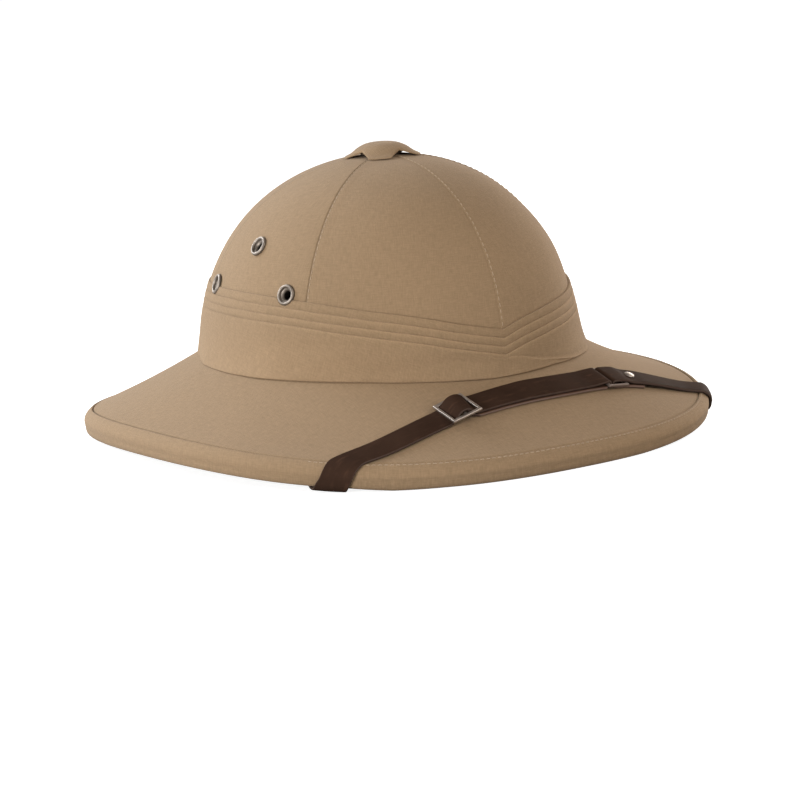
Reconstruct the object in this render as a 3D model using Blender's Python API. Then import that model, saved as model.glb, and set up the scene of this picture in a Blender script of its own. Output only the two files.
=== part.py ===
"""Cloth-covered pith helmet with a wound band and a leather chin strap worn over the front brim.

Metres, +Z up. The front looks towards -Y and the wearer's left is +X. The origin is on the surface that
the helmet rests on, under the middle of its rim. A "turn" is the angle round the helmet from its front,
positive towards +X, and a "rise" runs up the crown from its foot, 0, to its top, 1.
"""
from math import asin, copysign, cos, pi, radians, sin, sqrt

import bmesh
import bpy
from mathutils import Matrix, Vector

MM = 0.001
GAP = 0.3 * MM                      # clearance between touching pieces

# Crown: a rounded dome on an oval, its top set a little towards the front
CROWN_HALF_WIDTH = 95.3 * MM
CROWN_HALF_LENGTH = 112.0 * MM
CROWN_CENTRE_Y = 1.9 * MM
CROWN_FOOT_Z = 48.0 * MM
CROWN_HEIGHT = 101.0 * MM
CROWN_ROUNDNESS = 2.12              # exponent of the dome's profile, 2 is an ellipse
CROWN_TOP_Y = -6.8 * MM
CROWN_WALL = 6.0 * MM

# Brim: from the foot of the band down to the stitched seam of the rim
BAND_FOOT_OUT = 5.4 * MM            # how far the band's foot stands out from the crown
BAND_FOOT_Z = 41.8 * MM
BAND_FOOT_SADDLE = -1.8 * MM        # lower at front and back than at the sides
RIM_HALF_WIDTH = 149.9 * MM
RIM_HALF_LENGTH = 171.9 * MM
RIM_SQUARENESS = 2.38               # exponent of the rim's outline, 2 is an ellipse
RIM_SEAM_Z = 15.3 * MM
RIM_SADDLE = -4.0 * MM
RIM_RIPPLE = 0.84 * MM
BRIM_SAG = (
    # turn, hollow of the brim between band and rim
    (-180.0, 2.0 * MM),
    (-122.0, 0.9 * MM),
    (-60.0, 1.8 * MM),
    (0.0, 2.0 * MM),
    (58.0, 2.7 * MM),
    (180.0, 2.0 * MM),
)
BRIM_WALL = 7.0 * MM
BRIM_TOP_SHARES = (0.7, 0.35)       # rows of the shell's top, as shares of the way in from the seam
BRIM_UNDER_SHARES = (0.12, 0.5)     # and of its underside
OPENING_EASE = 0.12                 # the underside's last rows, short of the head opening
OPENING_EDGE = 0.02
OPENING_LIFT = 1.2 * MM             # softened edge where the underside meets the head opening

CLOTH = 1.0 * MM
SKIN = CLOTH + GAP                  # cloth and its clearance over the pith
BRIM_COVER_TUCK = 0.9 * MM          # how far the brim's cloth runs in under the crown's
BRIM_COVER_SHARES = (0, 0.3, 0.65, 1)

# Rim binding, outer side of its section: out from the seam and down from it
RIM_SECTION = (
    # out, down
    (0.0 * MM, 0.0 * MM),
    (2.8 * MM, 1.3 * MM),
    (4.5 * MM, 3.3 * MM),
    (5.0 * MM, 5.8 * MM),
    (4.7 * MM, 8.6 * MM),
    (3.4 * MM, 10.5 * MM),
    (1.6 * MM, 10.9 * MM),
    (-1.6 * MM, 10.9 * MM),
)
RIM_DEEPER = (
    # turn, how much deeper the binding reaches here than that section
    (-180.0, 1.3 * MM),
    (-168.0, 1.3 * MM),
    (-130.0, 2.4 * MM),
    (-100.0, 2.4 * MM),
    (-65.0, 1.8 * MM),
    (-53.0, 1.5 * MM),
    (-44.0, 1.35 * MM),
    (-35.0, 2.1 * MM),
    (-25.0, 1.5 * MM),
    (-12.0, 1.3 * MM),
    (12.0, 1.3 * MM),
    (35.0, 0.2 * MM),
    (120.0, 0.2 * MM),
    (168.0, 1.3 * MM),
    (180.0, 1.3 * MM),
)
RIM_CORNERS = (0, 2, 4, 6, 7)       # points of that section that the hidden sides follow
BINDING_TUCK = 0.20                 # share of the brim's width that the binding covers underneath

# Cloth gores of the crown, cut by six seams
GORE_SEAM_TURNS = (-114.0, -62.0, 0.0, 62.0, 114.0, 180.0)
STATIONS_PER_GORE = 7
GORE_RISES = (0.0, 0.08, 0.16, 0.25, 0.35, 0.46, 0.58, 0.70, 0.83, 0.962)
LOWEST_GORE_ROW = 2.0 * MM          # height of its first row over its lower edge
SHELL_INNER_RISES = (0.0, 0.12, 0.237, 0.401, 0.55, 0.70, 0.86)

# Wound band: height of its upper edge, with the V at the front
BAND_TOP = (
    # turn, height
    (-180.0, 82.8 * MM),
    (-150.0, 84.1 * MM),
    (-116.0, 85.3 * MM),
    (-90.0, 85.9 * MM),
    (-65.0, 83.9 * MM),
    (-45.0, 79.7 * MM),
    (-28.0, 74.9 * MM),
    (-12.0, 68.5 * MM),
    (0.0, 63.9 * MM),
    (8.0, 67.7 * MM),
    (18.0, 70.5 * MM),
    (28.0, 72.3 * MM),
    (42.0, 74.3 * MM),
    (60.0, 77.3 * MM),
    (90.0, 81.3 * MM),
    (120.0, 83.3 * MM),
    (150.0, 83.5 * MM),
    (180.0, 82.8 * MM),
)
PLEAT_DROPS = (0.0 * MM, 4.4 * MM, 8.8 * MM, 12.8 * MM)
BAND_FIRST_OUT = (
    # turn, how far the uppermost fold stands out from the crown
    (-180.0, 1.5 * MM),
    (-150.0, 1.1 * MM),
    (-60.0, 1.1 * MM),
    (-20.0, 1.3 * MM),
    (30.0, 1.8 * MM),
    (60.0, 3.0 * MM),
    (90.0, 2.3 * MM),
    (120.0, 1.9 * MM),
    (180.0, 1.5 * MM),
)
BAND_STEP_OUT = (
    # turn, how far each lower fold stands out over the one above
    (-180.0, 0.50 * MM),
    (-150.0, 0.15 * MM),
    (-95.0, 0.12 * MM),
    (-55.0, 0.55 * MM),
    (-25.0, 0.75 * MM),
    (30.0, 0.65 * MM),
    (60.0, 0.35 * MM),
    (110.0, 0.35 * MM),
    (180.0, 0.50 * MM),
)
BAND_HEM_OUT = (
    # turn, how far the band's foot stands out
    (-180.0, 5.0 * MM),
    (-150.0, 2.8 * MM),
    (-100.0, 2.8 * MM),
    (-70.0, BAND_FOOT_OUT),
    (30.0, BAND_FOOT_OUT),
    (60.0, 7.9 * MM),
    (110.0, 7.9 * MM),
    (180.0, 5.0 * MM),
)
PLEAT_DRAFT_OUT = 0.2 * MM          # a fold leans out this much towards its lower edge
PLEAT_LIP = 0.5 * MM
WRAP_END_TURN = 30.0                # where the outer wrap's edge runs out under the band's foot
WRAP_STEP_OUT = 0.6 * MM
WRAP_EDGE_LEAVES = 1.2 * MM         # under the lowest fold at the V
WRAP_EDGE_ARRIVES = 1.6 * MM        # over the foot
WRAP_EDGE_BEND = 1.6
WRAP_FLARE = (
    # turn, share of the plain wrap's height under which it leans out to its foot
    (-180.0, 0.25),
    (30.0, 0.25),
    (50.0, 0.7),
    (120.0, 0.7),
    (180.0, 0.25),
)
BAND_GAP = 0.5 * MM
BAND_HEM = 0.4 * MM

# Vent cap on four feet, carried by a hidden post
CAP_CENTRE_X = 0.5 * MM
CAP_TURN = -36.5
CAP_RADIUS = 20.4 * MM
CAP_NOTCH_RADIUS = 14.0 * MM
CAP_FOOT_HALF_ANGLE = 19.3
CAP_WALL = 1.5 * MM
CAP_PROFILE = (
    # radius, height over the feet
    (0.0 * MM, 4.8 * MM),
    (5.0 * MM, 4.7 * MM),
    (9.4 * MM, 4.1 * MM),
    (13.4 * MM, 2.6 * MM),
    (16.8 * MM, 0.9 * MM),
    (20.4 * MM, 0.0 * MM),
)
CAP_SPOKES_PER_FOOT = 6
CAP_RING_SHARES = (0.3, 0.55, 0.8, 1.0)
POST_RADIUS = 5.0 * MM
POST_HEAD_RADIUS = 11.5 * MM
POST_SIDES = 8
POST_HEAD_OVER = 0.4 * MM           # its head's underside over the crown's top

# Eyelets, three on each side
EYELET_TURNS_RISES = (
    # turn, rise
    (69.4, 0.233),
    (88.8, 0.394),
    (107.4, 0.233),
)
EYELET_FLANGE_RADIUS = 5.5 * MM
EYELET_FLANGE_HEIGHT = 1.7 * MM
EYELET_BARREL_RADIUS = 3.6 * MM
EYELET_BORE_RADIUS = 2.8 * MM
EYELET_WASHER_GAP = 0.8 * MM        # between the inner washer and the pith
EYELET_WASHER = 1.0 * MM
EYELET_ROLL = 1.3 * MM
EYELET_SIDES = 10
HOLE_SIDES = 12
HOLE_ENDS = (-11.0 * MM, 5.0 * MM)  # through the shell and the cloth, from the crown's surface
NOTCH_ENDS = (-0.4 * MM, 9.0 * MM)  # through the band's upper folds

# Chin strap
STRAP_WIDTH = 14.4 * MM
STRAP_ACROSS = (-STRAP_WIDTH / 2, 0.0, STRAP_WIDTH / 2)
STRAP_THICKNESS = 1.4 * MM
STRAP_LIFT = 0.6 * MM               # clearance between the leather and the brim
STRAP_STEP = 12.0 * MM              # longest distance between sections
STRAP_FINE_STEP = 1.5 * MM
STRAP_BOW = 0.15 * MM               # a chord of the strap stays this near to the bed's shape
STRAP_REACH = 3.0 * MM              # its direction is taken this far both ways
BED_REACH = 1.6 * MM                # the bed's slope, this far both ways
# Between these ways it bends parallel to the rim
STRAP_RIM_WAYS = (-32.0 * MM, -19.0 * MM, 0.0 * MM, 20.0 * MM)
STRAP_ROUTE = (
    # turn, way up the brim from the rim's seam (negative: over the edge and in underneath)
    (-74.0, -99.0 * MM),
    (-74.0, -86.0 * MM),
    (-72.5, -74.0 * MM),
    (-66.0, -58.0 * MM),
    (-58.0, -43.0 * MM),
    (-52.0, -29.0 * MM),
    (-47.0, -13.0 * MM),
    (-43.5, 0.0 * MM),
    (-37.0, 13.8 * MM),
    (-30.7, 26.0 * MM),
    (-24.3, 35.6 * MM),
    (-17.5, 42.4 * MM),
    (-9.0, 46.2 * MM),
    (0.0, 47.5 * MM),
    (9.5, 48.2 * MM),
    (18.0, 47.6 * MM),
    (25.1, 45.0 * MM),
    (31.0, 41.0 * MM),
    (36.8, 33.5 * MM),
    (43.2, 21.0 * MM),
    (50.0, 0.0 * MM),
    (54.5, -13.0 * MM),
    (59.0, -27.0 * MM),
    (63.5, -41.0 * MM),
    (68.0, -54.0 * MM),
    (72.5, -68.0 * MM),
    (74.0, -80.0 * MM),
    (74.0, -93.0 * MM),
)

# Metal on the strap
SLIDER_TURN = -19.5
SLIDER_TILT = 6.0                   # its near side stands higher
SLIDER_LENGTH = 17.5 * MM
SLIDER_WIDTH = 18.0 * MM
RING_TURN = 27.3
RING_LENGTH = 15.6 * MM
RING_WIDTH = 18.0 * MM
BAR = 1.5 * MM                      # square wire of the slider and the ring
RIVET_PAST_RING = 8.7 * MM
RIVET_HEAD_RADIUS = 2.9 * MM
RIVET_HEAD_HEIGHT = 1.5 * MM
RIVET_SHANK_RADIUS = 1.3 * MM
RIVET_SIDES = 12
FOLD_ROOM = 0.3 * MM                # slack of a fold round its bar
SHORT_TAIL = 15.0 * MM              # turned-in end of the short strap, past the ring

# Where the strap's layers rise and fall, as distances along it from the slider's or the ring's bars
SLIDER_APPROACH = (16.0 * MM, 6.8 * MM)
SLIDER_LOOSE = 0.1 * MM
HUMP_HALF = 2.0 * MM
HUMP_OVER = 0.9 * MM
HUMP_CROWN = 0.5 * MM
HUMP_END = 6.3 * MM
LEFT_BAR_OVER = 1.05 * MM
RIGHT_BAR_OVER = 0.75 * MM
DOUBLED_END = 2.0 * MM
RING_RISE = (11.0 * MM, 2.0 * MM)
RING_FALL = (2.0 * MM, 6.2 * MM)
TAIL_STEP = 1.0 * MM
STRAP_SETTLES = 47.0                # turn where the short part comes down onto the brim

ANCHOR_INSET = 7.0 * MM             # rivet inside the crown, from the strap's end
ANCHOR_HEAD_RADIUS = 4.0 * MM
ANCHOR_DEPTH = 4.0 * MM
ANCHOR_SIDES = 10

KHAKI = (0.36, 0.25, 0.15)
PITH = (0.55, 0.47, 0.34)
LEATHER = (0.035, 0.02, 0.014)
NICKEL = (0.62, 0.58, 0.53)


# ---------------------------------------------------------------- numbers and surfaces

def lookup(table, position):
    """Value of a two-column table at a position, on straight lines between its rows."""
    for (start, low), (end, high) in zip(table, table[1:]):
        if position <= end:
            return low + (high - low) * (position - start) / (end - start)
    return table[-1][1]


def oval(turn, half_width, half_length, exponent=2.0):
    """Level point of a round or squarish oval at a turn in radians."""
    power = 2.0 / exponent
    across, along = sin(turn), -cos(turn)
    return Vector((copysign(abs(across) ** power * half_width, across),
                   copysign(abs(along) ** power * half_length, along), 0.0))


def crown_at(turn, rise):
    """Outer surface of the crown's cloth."""
    angle = max(rise, 0.0) * pi / 2
    spread = cos(angle) ** (2 / CROWN_ROUNDNESS) if rise < 1.0 else 0.0
    climb = sin(angle) ** (2 / CROWN_ROUNDNESS)
    point = oval(turn, CROWN_HALF_WIDTH, CROWN_HALF_LENGTH) * spread
    point.y += CROWN_CENTRE_Y + (CROWN_TOP_Y - CROWN_CENTRE_Y) * climb
    point.z = CROWN_FOOT_Z + CROWN_HEIGHT * (climb + min(rise, 0.0))
    return point


def crown_normal(turn, rise):
    step = 0.002
    low = min(rise, 1.0 - 2 * step) - step
    around = crown_at(turn + step, low) - crown_at(turn - step, low)
    upward = crown_at(turn, low + 2 * step) - crown_at(turn, low)
    return around.cross(upward).normalized()


def crown_inside(turn, rise, depth):
    """Point under the crown's cloth surface, or over it where the depth is negative."""
    return crown_at(turn, rise) - crown_normal(turn, rise) * depth


def rise_at_height(height):
    climb = min(max((height - CROWN_FOOT_Z) / CROWN_HEIGHT, 0.0), 1.0)
    return asin(climb ** (CROWN_ROUNDNESS / 2)) * 2 / pi


def beside_crown(turn, height, out):
    """Point at a height, level with the crown's surface there and this far outside it."""
    point = crown_at(turn, rise_at_height(height))
    point.z = height
    slope = Vector((sin(turn) / CROWN_HALF_WIDTH, -cos(turn) / CROWN_HALF_LENGTH, 0.0))
    return point + slope.normalized() * out


def crown_over(x, y):
    """Height of the crown's top surface over a point near its middle."""
    climb = 1.0
    for _ in range(6):
        middle_y = CROWN_CENTRE_Y + (CROWN_TOP_Y - CROWN_CENTRE_Y) * climb
        spread = sqrt((x / CROWN_HALF_WIDTH) ** 2 + ((y - middle_y) / CROWN_HALF_LENGTH) ** 2)
        climb = (1.0 - spread ** CROWN_ROUNDNESS) ** (1 / CROWN_ROUNDNESS)
    return CROWN_FOOT_Z + CROWN_HEIGHT * climb


def band_foot_height(turn):
    return BAND_FOOT_Z + BAND_FOOT_SADDLE * cos(2 * turn)


class BrimSection:
    """Upright section of the brim at a turn: "out" is level from the rim's seam, "up" is height."""

    def __init__(self, turn):
        foot = oval(turn, CROWN_HALF_WIDTH + BAND_FOOT_OUT, CROWN_HALF_LENGTH + BAND_FOOT_OUT)
        foot.y += CROWN_CENTRE_Y
        self.seam = oval(turn, RIM_HALF_WIDTH, RIM_HALF_LENGTH, RIM_SQUARENESS)
        self.width = (self.seam - foot).length
        self.outward = (self.seam - foot) / self.width
        seam_z = RIM_SEAM_Z + RIM_SADDLE * cos(2 * turn) + RIM_RIPPLE * cos(4 * turn)
        depth = RIM_SECTION[-1][1] + lookup(RIM_DEEPER, signed_degrees(turn))
        self.deepening = depth / RIM_SECTION[-1][1]
        self.seam.z = max(seam_z, depth)
        self.climb = band_foot_height(turn) - self.seam.z
        self.sag = lookup(BRIM_SAG, signed_degrees(turn))

    def flat(self, inward, depth=0.0):
        """Out and up of a point under the brim's cloth; inward is 0 at the seam, 1 at the band's foot."""
        up = inward * self.climb - self.sag * 4 * inward * (1 - inward)
        slope = (self.climb - self.sag * 4 * (1 - 2 * inward)) / self.width
        steep = sqrt(1 + slope * slope)
        return (-inward * self.width - depth * slope / steep, up - depth / steep)

    def place(self, out_up):
        return self.seam + self.outward * out_up[0] + Vector((0.0, 0.0, out_up[1]))

    def inward_of_crown(self, depth):
        """Inward place of the line where the crown's surface, this deep, meets the brim."""
        return 1.0 + (BAND_FOOT_OUT + depth) / self.width

    def cover_height(self, out):
        """Height of the brim's cloth this far outside the crown's surface."""
        return self.place(self.flat(self.inward_of_crown(-out))).z


def inset_line(line, inset):
    """Open line of (out, up) points moved to its right-hand side by an inset."""
    moved = []
    for index, (out, up) in enumerate(line):
        before = line[max(index - 1, 0)]
        after = line[min(index + 1, len(line) - 1)]
        run, rise = after[0] - before[0], after[1] - before[1]
        length = sqrt(run * run + rise * rise)
        moved.append((out + rise / length * inset, up - run / length * inset))
    return moved


def rim_line(section):
    """Outer side of the binding, from its seam round the rim and in underneath."""
    line = [(out, -down * section.deepening) for out, down in RIM_SECTION]
    depth = 2 * SKIN + BRIM_WALL
    return line + [section.flat(BINDING_TUCK * share, depth) for share in (0.45, 1.0)]


def gore_foot(turn):
    """Height of the crown cloth's lower edge, just over the brim's cloth."""
    return BrimSection(turn).cover_height(-CLOTH) + 2 * GAP


def gore_rises(turn):
    """Rises of the crown's rows; the lowest one stays over the lower edge of the cloth."""
    return (rise_at_height(gore_foot(turn) + LOWEST_GORE_ROW),) + GORE_RISES[1:]


def turns_of_gore(index):
    """Turns of the stations from one seam to the next, in radians."""
    start = GORE_SEAM_TURNS[index - 1] - (360.0 if index == 0 else 0.0)
    end = GORE_SEAM_TURNS[index]
    step = (end - start) / STATIONS_PER_GORE
    return [radians(start + step * count) for count in range(STATIONS_PER_GORE + 1)]


def all_turns():
    return [turn for gore in range(len(GORE_SEAM_TURNS)) for turn in turns_of_gore(gore)[:-1]]


def signed_degrees(turn):
    """A turn in degrees between -180 and 180."""
    return (turn * 180 / pi + 180.0) % 360.0 - 180.0


# ---------------------------------------------------------------- meshes and objects

def material(name, colour, roughness, metallic=0.0):
    if name in bpy.data.materials:
        return bpy.data.materials[name]
    made = bpy.data.materials.new(name)
    made.use_nodes = True
    shader = made.node_tree.nodes["Principled BSDF"]
    shader.inputs["Base Color"].default_value = (*colour, 1.0)
    shader.inputs["Roughness"].default_value = roughness
    shader.inputs["Metallic"].default_value = metallic
    return made


def cloth():
    return material("khaki_cotton", KHAKI, 0.85)


def leather():
    return material("dark_leather", LEATHER, 0.4)


def nickel():
    return material("nickel_plate", NICKEL, 0.25, 1.0)


def make_object(name, points, faces, finish):
    mesh = bpy.data.meshes.new(name)
    mesh.from_pydata([tuple(point) for point in points], [], faces)
    mesh.shade_smooth()
    mesh.set_sharp_from_angle(angle=radians(35))
    mesh.materials.append(finish)
    made = bpy.data.objects.new(name, mesh)
    bpy.context.collection.objects.link(made)
    return made


def ring_faces(first, second):
    """Quads between two closed rings of point numbers."""
    count = len(first)
    return [(first[i], first[(i + 1) % count], second[(i + 1) % count], second[i]) for i in range(count)]


def closed_loft(name, sections, finish, around):
    """Solid through closed sections; it joins up with itself, or ends in flat strips of quads."""
    size = len(sections[0])
    points = [point for section in sections for point in section]
    numbers = [list(range(i * size, (i + 1) * size)) for i in range(len(sections))]
    faces = []
    for first, second in zip(numbers, numbers[1:]):
        faces += ring_faces(first, second)
    if around:
        faces += ring_faces(numbers[-1], numbers[0])
    else:
        for ring, flip in ((numbers[0], True), (numbers[-1], False)):
            for i in range(size // 2 - 1):
                quad = (ring[i], ring[i + 1], ring[size - 2 - i], ring[size - 1 - i])
                faces.append(quad[::-1] if flip else quad)
    return make_object(name, points, faces, finish)


def turned(name, profile, place, sides, finish):
    """Solid turned about the place's Z axis from a profile of (radius, height), going up its outer side.

    A profile that starts and ends on the axis closes there; any other one is a closed ring section.
    """
    points, rings = [], []
    for radius, height in profile:
        if radius == 0.0:
            rings.append([len(points)] * sides)
            points.append(place @ Vector((0.0, 0.0, height)))
            continue
        rings.append(list(range(len(points), len(points) + sides)))
        for side in range(sides):
            angle = 2 * pi * side / sides
            points.append(place @ Vector((radius * cos(angle), radius * sin(angle), height)))
    if profile[0][0] != 0.0:
        rings.append(rings[0])
    faces = []
    for first, second in zip(rings, rings[1:]):
        for quad in ring_faces(first, second):
            faces.append(tuple(dict.fromkeys(quad)))
    return make_object(name, points, faces, finish)


def drum(radius, low, high):
    """Profile of a plain cylinder."""
    return ((0.0, low), (radius, low), (radius, high), (0.0, high))


def facing(origin, upward, ahead):
    """Placing matrix with Z along upward and X as near ahead as it can be."""
    z = upward.normalized()
    y = z.cross(ahead).normalized()
    x = y.cross(z)
    turned_axes = Matrix((x, y, z)).transposed().to_4x4()
    return Matrix.Translation(origin) @ turned_axes


def cut(target, cutter):
    boolean = target.modifiers.new("cut_" + cutter.name, "BOOLEAN")
    boolean.operation = "DIFFERENCE"
    boolean.object = cutter


def hidden_cutter(name, radius, low, high, place, sides):
    cutter = turned(name, drum(radius, low, high), place, sides, material("cutter", PITH, 1.0))
    cutter.hide_render = True
    cutter.display_type = "WIRE"
    return cutter


# ---------------------------------------------------------------- pith shell and its cloth

def opening_rows(section, depth):
    """Last points of the brim's underside at a depth, up to the softened edge of the head opening."""
    inside = section.inward_of_crown(SKIN + CROWN_WALL)
    ease = section.place(section.flat(inside - OPENING_EASE, depth))
    edge = section.place(section.flat(inside - OPENING_EDGE, depth))
    edge.z += OPENING_LIFT
    return [ease, edge]


def shell_section(turn):
    """Points from just under the crown's top, down, round the rim and up again inside."""
    section = BrimSection(turn)
    points = [crown_inside(turn, rise, SKIN) for rise in reversed(gore_rises(turn)[:-1])]
    top_inwards = (section.inward_of_crown(SKIN),) + BRIM_TOP_SHARES
    points += [section.place(section.flat(inward, SKIN)) for inward in top_inwards]
    rim = inset_line(rim_line(section), SKIN)
    points += [section.place(rim[index]) for index in RIM_CORNERS]
    under = SKIN + BRIM_WALL
    points += [section.place(section.flat(inward, under)) for inward in BRIM_UNDER_SHARES]
    points += opening_rows(section, under)
    points += [crown_inside(turn, rise, SKIN + CROWN_WALL) for rise in SHELL_INNER_RISES]
    return points


def build_shell():
    sections = [shell_section(turn) for turn in all_turns()]
    count, size = len(sections), len(sections[0])
    points = [point for section in sections for point in section]
    top = Vector((0.0, CROWN_TOP_Y, CROWN_FOOT_Z + CROWN_HEIGHT))
    points += [top - Vector((0.0, 0.0, SKIN)), top - Vector((0.0, 0.0, SKIN + CROWN_WALL))]
    outer_top, inner_top = len(points) - 2, len(points) - 1
    faces = []
    for i in range(count):
        here, there = i * size, (i + 1) % count * size
        faces.append((outer_top, here, there))
        faces.append((inner_top, there + size - 1, here + size - 1))
        for row in range(size - 1):
            faces.append((here + row, here + row + 1, there + row + 1, there + row))
    return make_object("helmet_shell", points, faces, material("pith", PITH, 0.9))


def build_gore(index):
    turns = turns_of_gore(index)
    sections = []
    for count, turn in enumerate(turns):
        outer, inner = [], []
        for rise in gore_rises(turn):
            edge = 0.0
            if count in (0, STATIONS_PER_GORE):
                level = crown_at(turn, rise)
                radius = sqrt(level.x ** 2 + (level.y - CROWN_TOP_Y) ** 2)
                edge = copysign(GAP / 2 / radius, STATIONS_PER_GORE / 2 - count)
            outer.append(crown_inside(turn + edge, rise, 0.0))
            inner.append(crown_inside(turn + edge, rise, CLOTH))
        hem = [Vector((point.x, point.y, gore_foot(turn))) for point in (outer[0], inner[0])]
        sections.append(outer[::-1] + hem + inner)
    return closed_loft("crown_gore_%d" % (index + 1), sections, cloth(), False)


def build_brim_cover():
    sections = []
    for turn in all_turns():
        section = BrimSection(turn)
        seam = 2 * GAP / section.width
        end = section.inward_of_crown(BRIM_COVER_TUCK)
        inwards = [seam + (end - seam) * share for share in BRIM_COVER_SHARES]
        outer = [section.place(section.flat(inward)) for inward in reversed(inwards)]
        inner = [section.place(section.flat(inward, CLOTH)) for inward in inwards]
        sections.append(outer + inner)
    return closed_loft("brim_cover", sections, cloth(), True)


def build_rim_binding():
    sections = []
    for turn in all_turns():
        section = BrimSection(turn)
        line = rim_line(section)
        inner = inset_line(line, CLOTH)
        loop = line + [inner[-1]] + [inner[index] for index in reversed(RIM_CORNERS)]
        sections.append([section.place(out_up) for out_up in loop])
    return closed_loft("rim_binding", sections, cloth(), True)


# ---------------------------------------------------------------- wound band

def wrap_edge_height(degrees, fold_z, foot_z):
    """Height of the outer wrap's edge: it leaves the lowest fold at the V and runs down to the foot."""
    share = min(max(degrees / WRAP_END_TURN, 0.0), 1.0)
    start, end = fold_z - WRAP_EDGE_LEAVES, foot_z + WRAP_EDGE_ARRIVES
    return end + (start - end) * (1 - share) ** WRAP_EDGE_BEND


def band_section(turn):
    degrees = signed_degrees(turn)
    top = lookup(BAND_TOP, degrees)
    section = BrimSection(turn)
    hem_out = lookup(BAND_HEM_OUT, degrees)
    foot = section.cover_height(hem_out - 2 * BAND_HEM) + GAP
    loop = []
    out = lookup(BAND_FIRST_OUT, degrees)
    for count, drop in enumerate(PLEAT_DROPS):
        if count:
            loop.append((top - drop + PLEAT_LIP * 0.2, out + PLEAT_DRAFT_OUT))
            out += lookup(BAND_STEP_OUT, degrees)
            loop.append((top - drop - PLEAT_LIP, out))
        else:
            loop.append((top, out - PLEAT_LIP * 0.8))
            loop.append((top - PLEAT_LIP, out))
    fold = top - PLEAT_DROPS[-1]
    wrapped = 0.0 < degrees < WRAP_END_TURN
    out += PLEAT_DRAFT_OUT
    edge, step = foot + (fold - foot) * lookup(WRAP_FLARE, degrees), PLEAT_DRAFT_OUT / 2
    if wrapped:
        edge, step = wrap_edge_height(degrees, fold, foot), WRAP_STEP_OUT
    loop.append((edge + PLEAT_LIP * 0.5, out))
    loop.append((edge - PLEAT_LIP * 0.5, out + step))
    loop.append((foot + 2 * BAND_HEM, hem_out))
    loop.append((foot, hem_out - BAND_HEM))
    points = [beside_crown(turn, height, away) for height, away in loop]
    inner_foot = section.cover_height(BAND_GAP) + GAP
    for share in (0.0, 0.35, 0.7, 1.0):
        height = inner_foot + (top - inner_foot) * share
        points.append(beside_crown(turn, height, BAND_GAP))
    return points


def build_band():
    return closed_loft("wound_band", [band_section(turn) for turn in all_turns()], cloth(), True)


# ---------------------------------------------------------------- vent cap

def cap_reach(degrees):
    """Radius of the cap's edge, this far from the middle of a foot."""
    away = abs((degrees + 45.0) % 90.0 - 45.0)
    if away <= CAP_FOOT_HALF_ANGLE:
        return CAP_RADIUS
    share = (away - CAP_FOOT_HALF_ANGLE) / (45.0 - CAP_FOOT_HALF_ANGLE)
    return CAP_RADIUS + (CAP_NOTCH_RADIUS - CAP_RADIUS) * share ** 0.8


def cap_point(degrees, radius, depth):
    angle = radians(CAP_TURN + degrees)
    x = CAP_CENTRE_X + radius * sin(angle)
    y = CROWN_TOP_Y - radius * cos(angle)
    return Vector((x, y, crown_over(x, y) + GAP + CAP_WALL + lookup(CAP_PROFILE, radius) - depth))


def build_cap():
    spokes = 4 * CAP_SPOKES_PER_FOOT
    points = [cap_point(0.0, 0.0, 0.0), cap_point(0.0, 0.0, CAP_WALL)]
    layers = []
    for depth in (0.0, CAP_WALL):
        rings = []
        for share in CAP_RING_SHARES:
            rings.append(list(range(len(points), len(points) + spokes)))
            for spoke in range(spokes):
                degrees = 360.0 * spoke / spokes
                points.append(cap_point(degrees, cap_reach(degrees) * share, depth))
        layers.append(rings)
    outer, inner = layers
    faces = []
    for i in range(spokes):
        j = (i + 1) % spokes
        faces.append((0, outer[0][i], outer[0][j]))
        faces.append((1, inner[0][j], inner[0][i]))
    for first, second in zip(outer, outer[1:]):
        faces += [quad[::-1] for quad in ring_faces(first, second)]
    for first, second in zip(inner, inner[1:]):
        faces += ring_faces(first, second)
    faces += [quad[::-1] for quad in ring_faces(outer[-1], inner[-1])]
    return make_object("vent_cap", points, faces, cloth())


def build_post():
    """Plain post through the crown's cloth, with a wider head under the cap."""
    crown_top = CROWN_FOOT_Z + CROWN_HEIGHT
    foot, neck = crown_top - SKIN + GAP, crown_top + POST_HEAD_OVER
    rim = cap_point(0.0, POST_HEAD_RADIUS, CAP_WALL).z - 2 * GAP
    profile = ((0.0, foot), (POST_RADIUS, foot), (POST_RADIUS, neck), (POST_HEAD_RADIUS, neck),
               (POST_HEAD_RADIUS, rim), (0.0, cap_point(0.0, 0.0, CAP_WALL).z - 2 * GAP))
    place = Matrix.Translation((0.0, CROWN_TOP_Y, 0.0))
    return turned("cap_post", profile, place, POST_SIDES, material("pith", PITH, 0.9))


# ---------------------------------------------------------------- eyelets

def eyelet_place(turn, rise):
    return facing(crown_at(turn, rise), crown_normal(turn, rise), Vector((0.0, 0.0, 1.0)))


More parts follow.
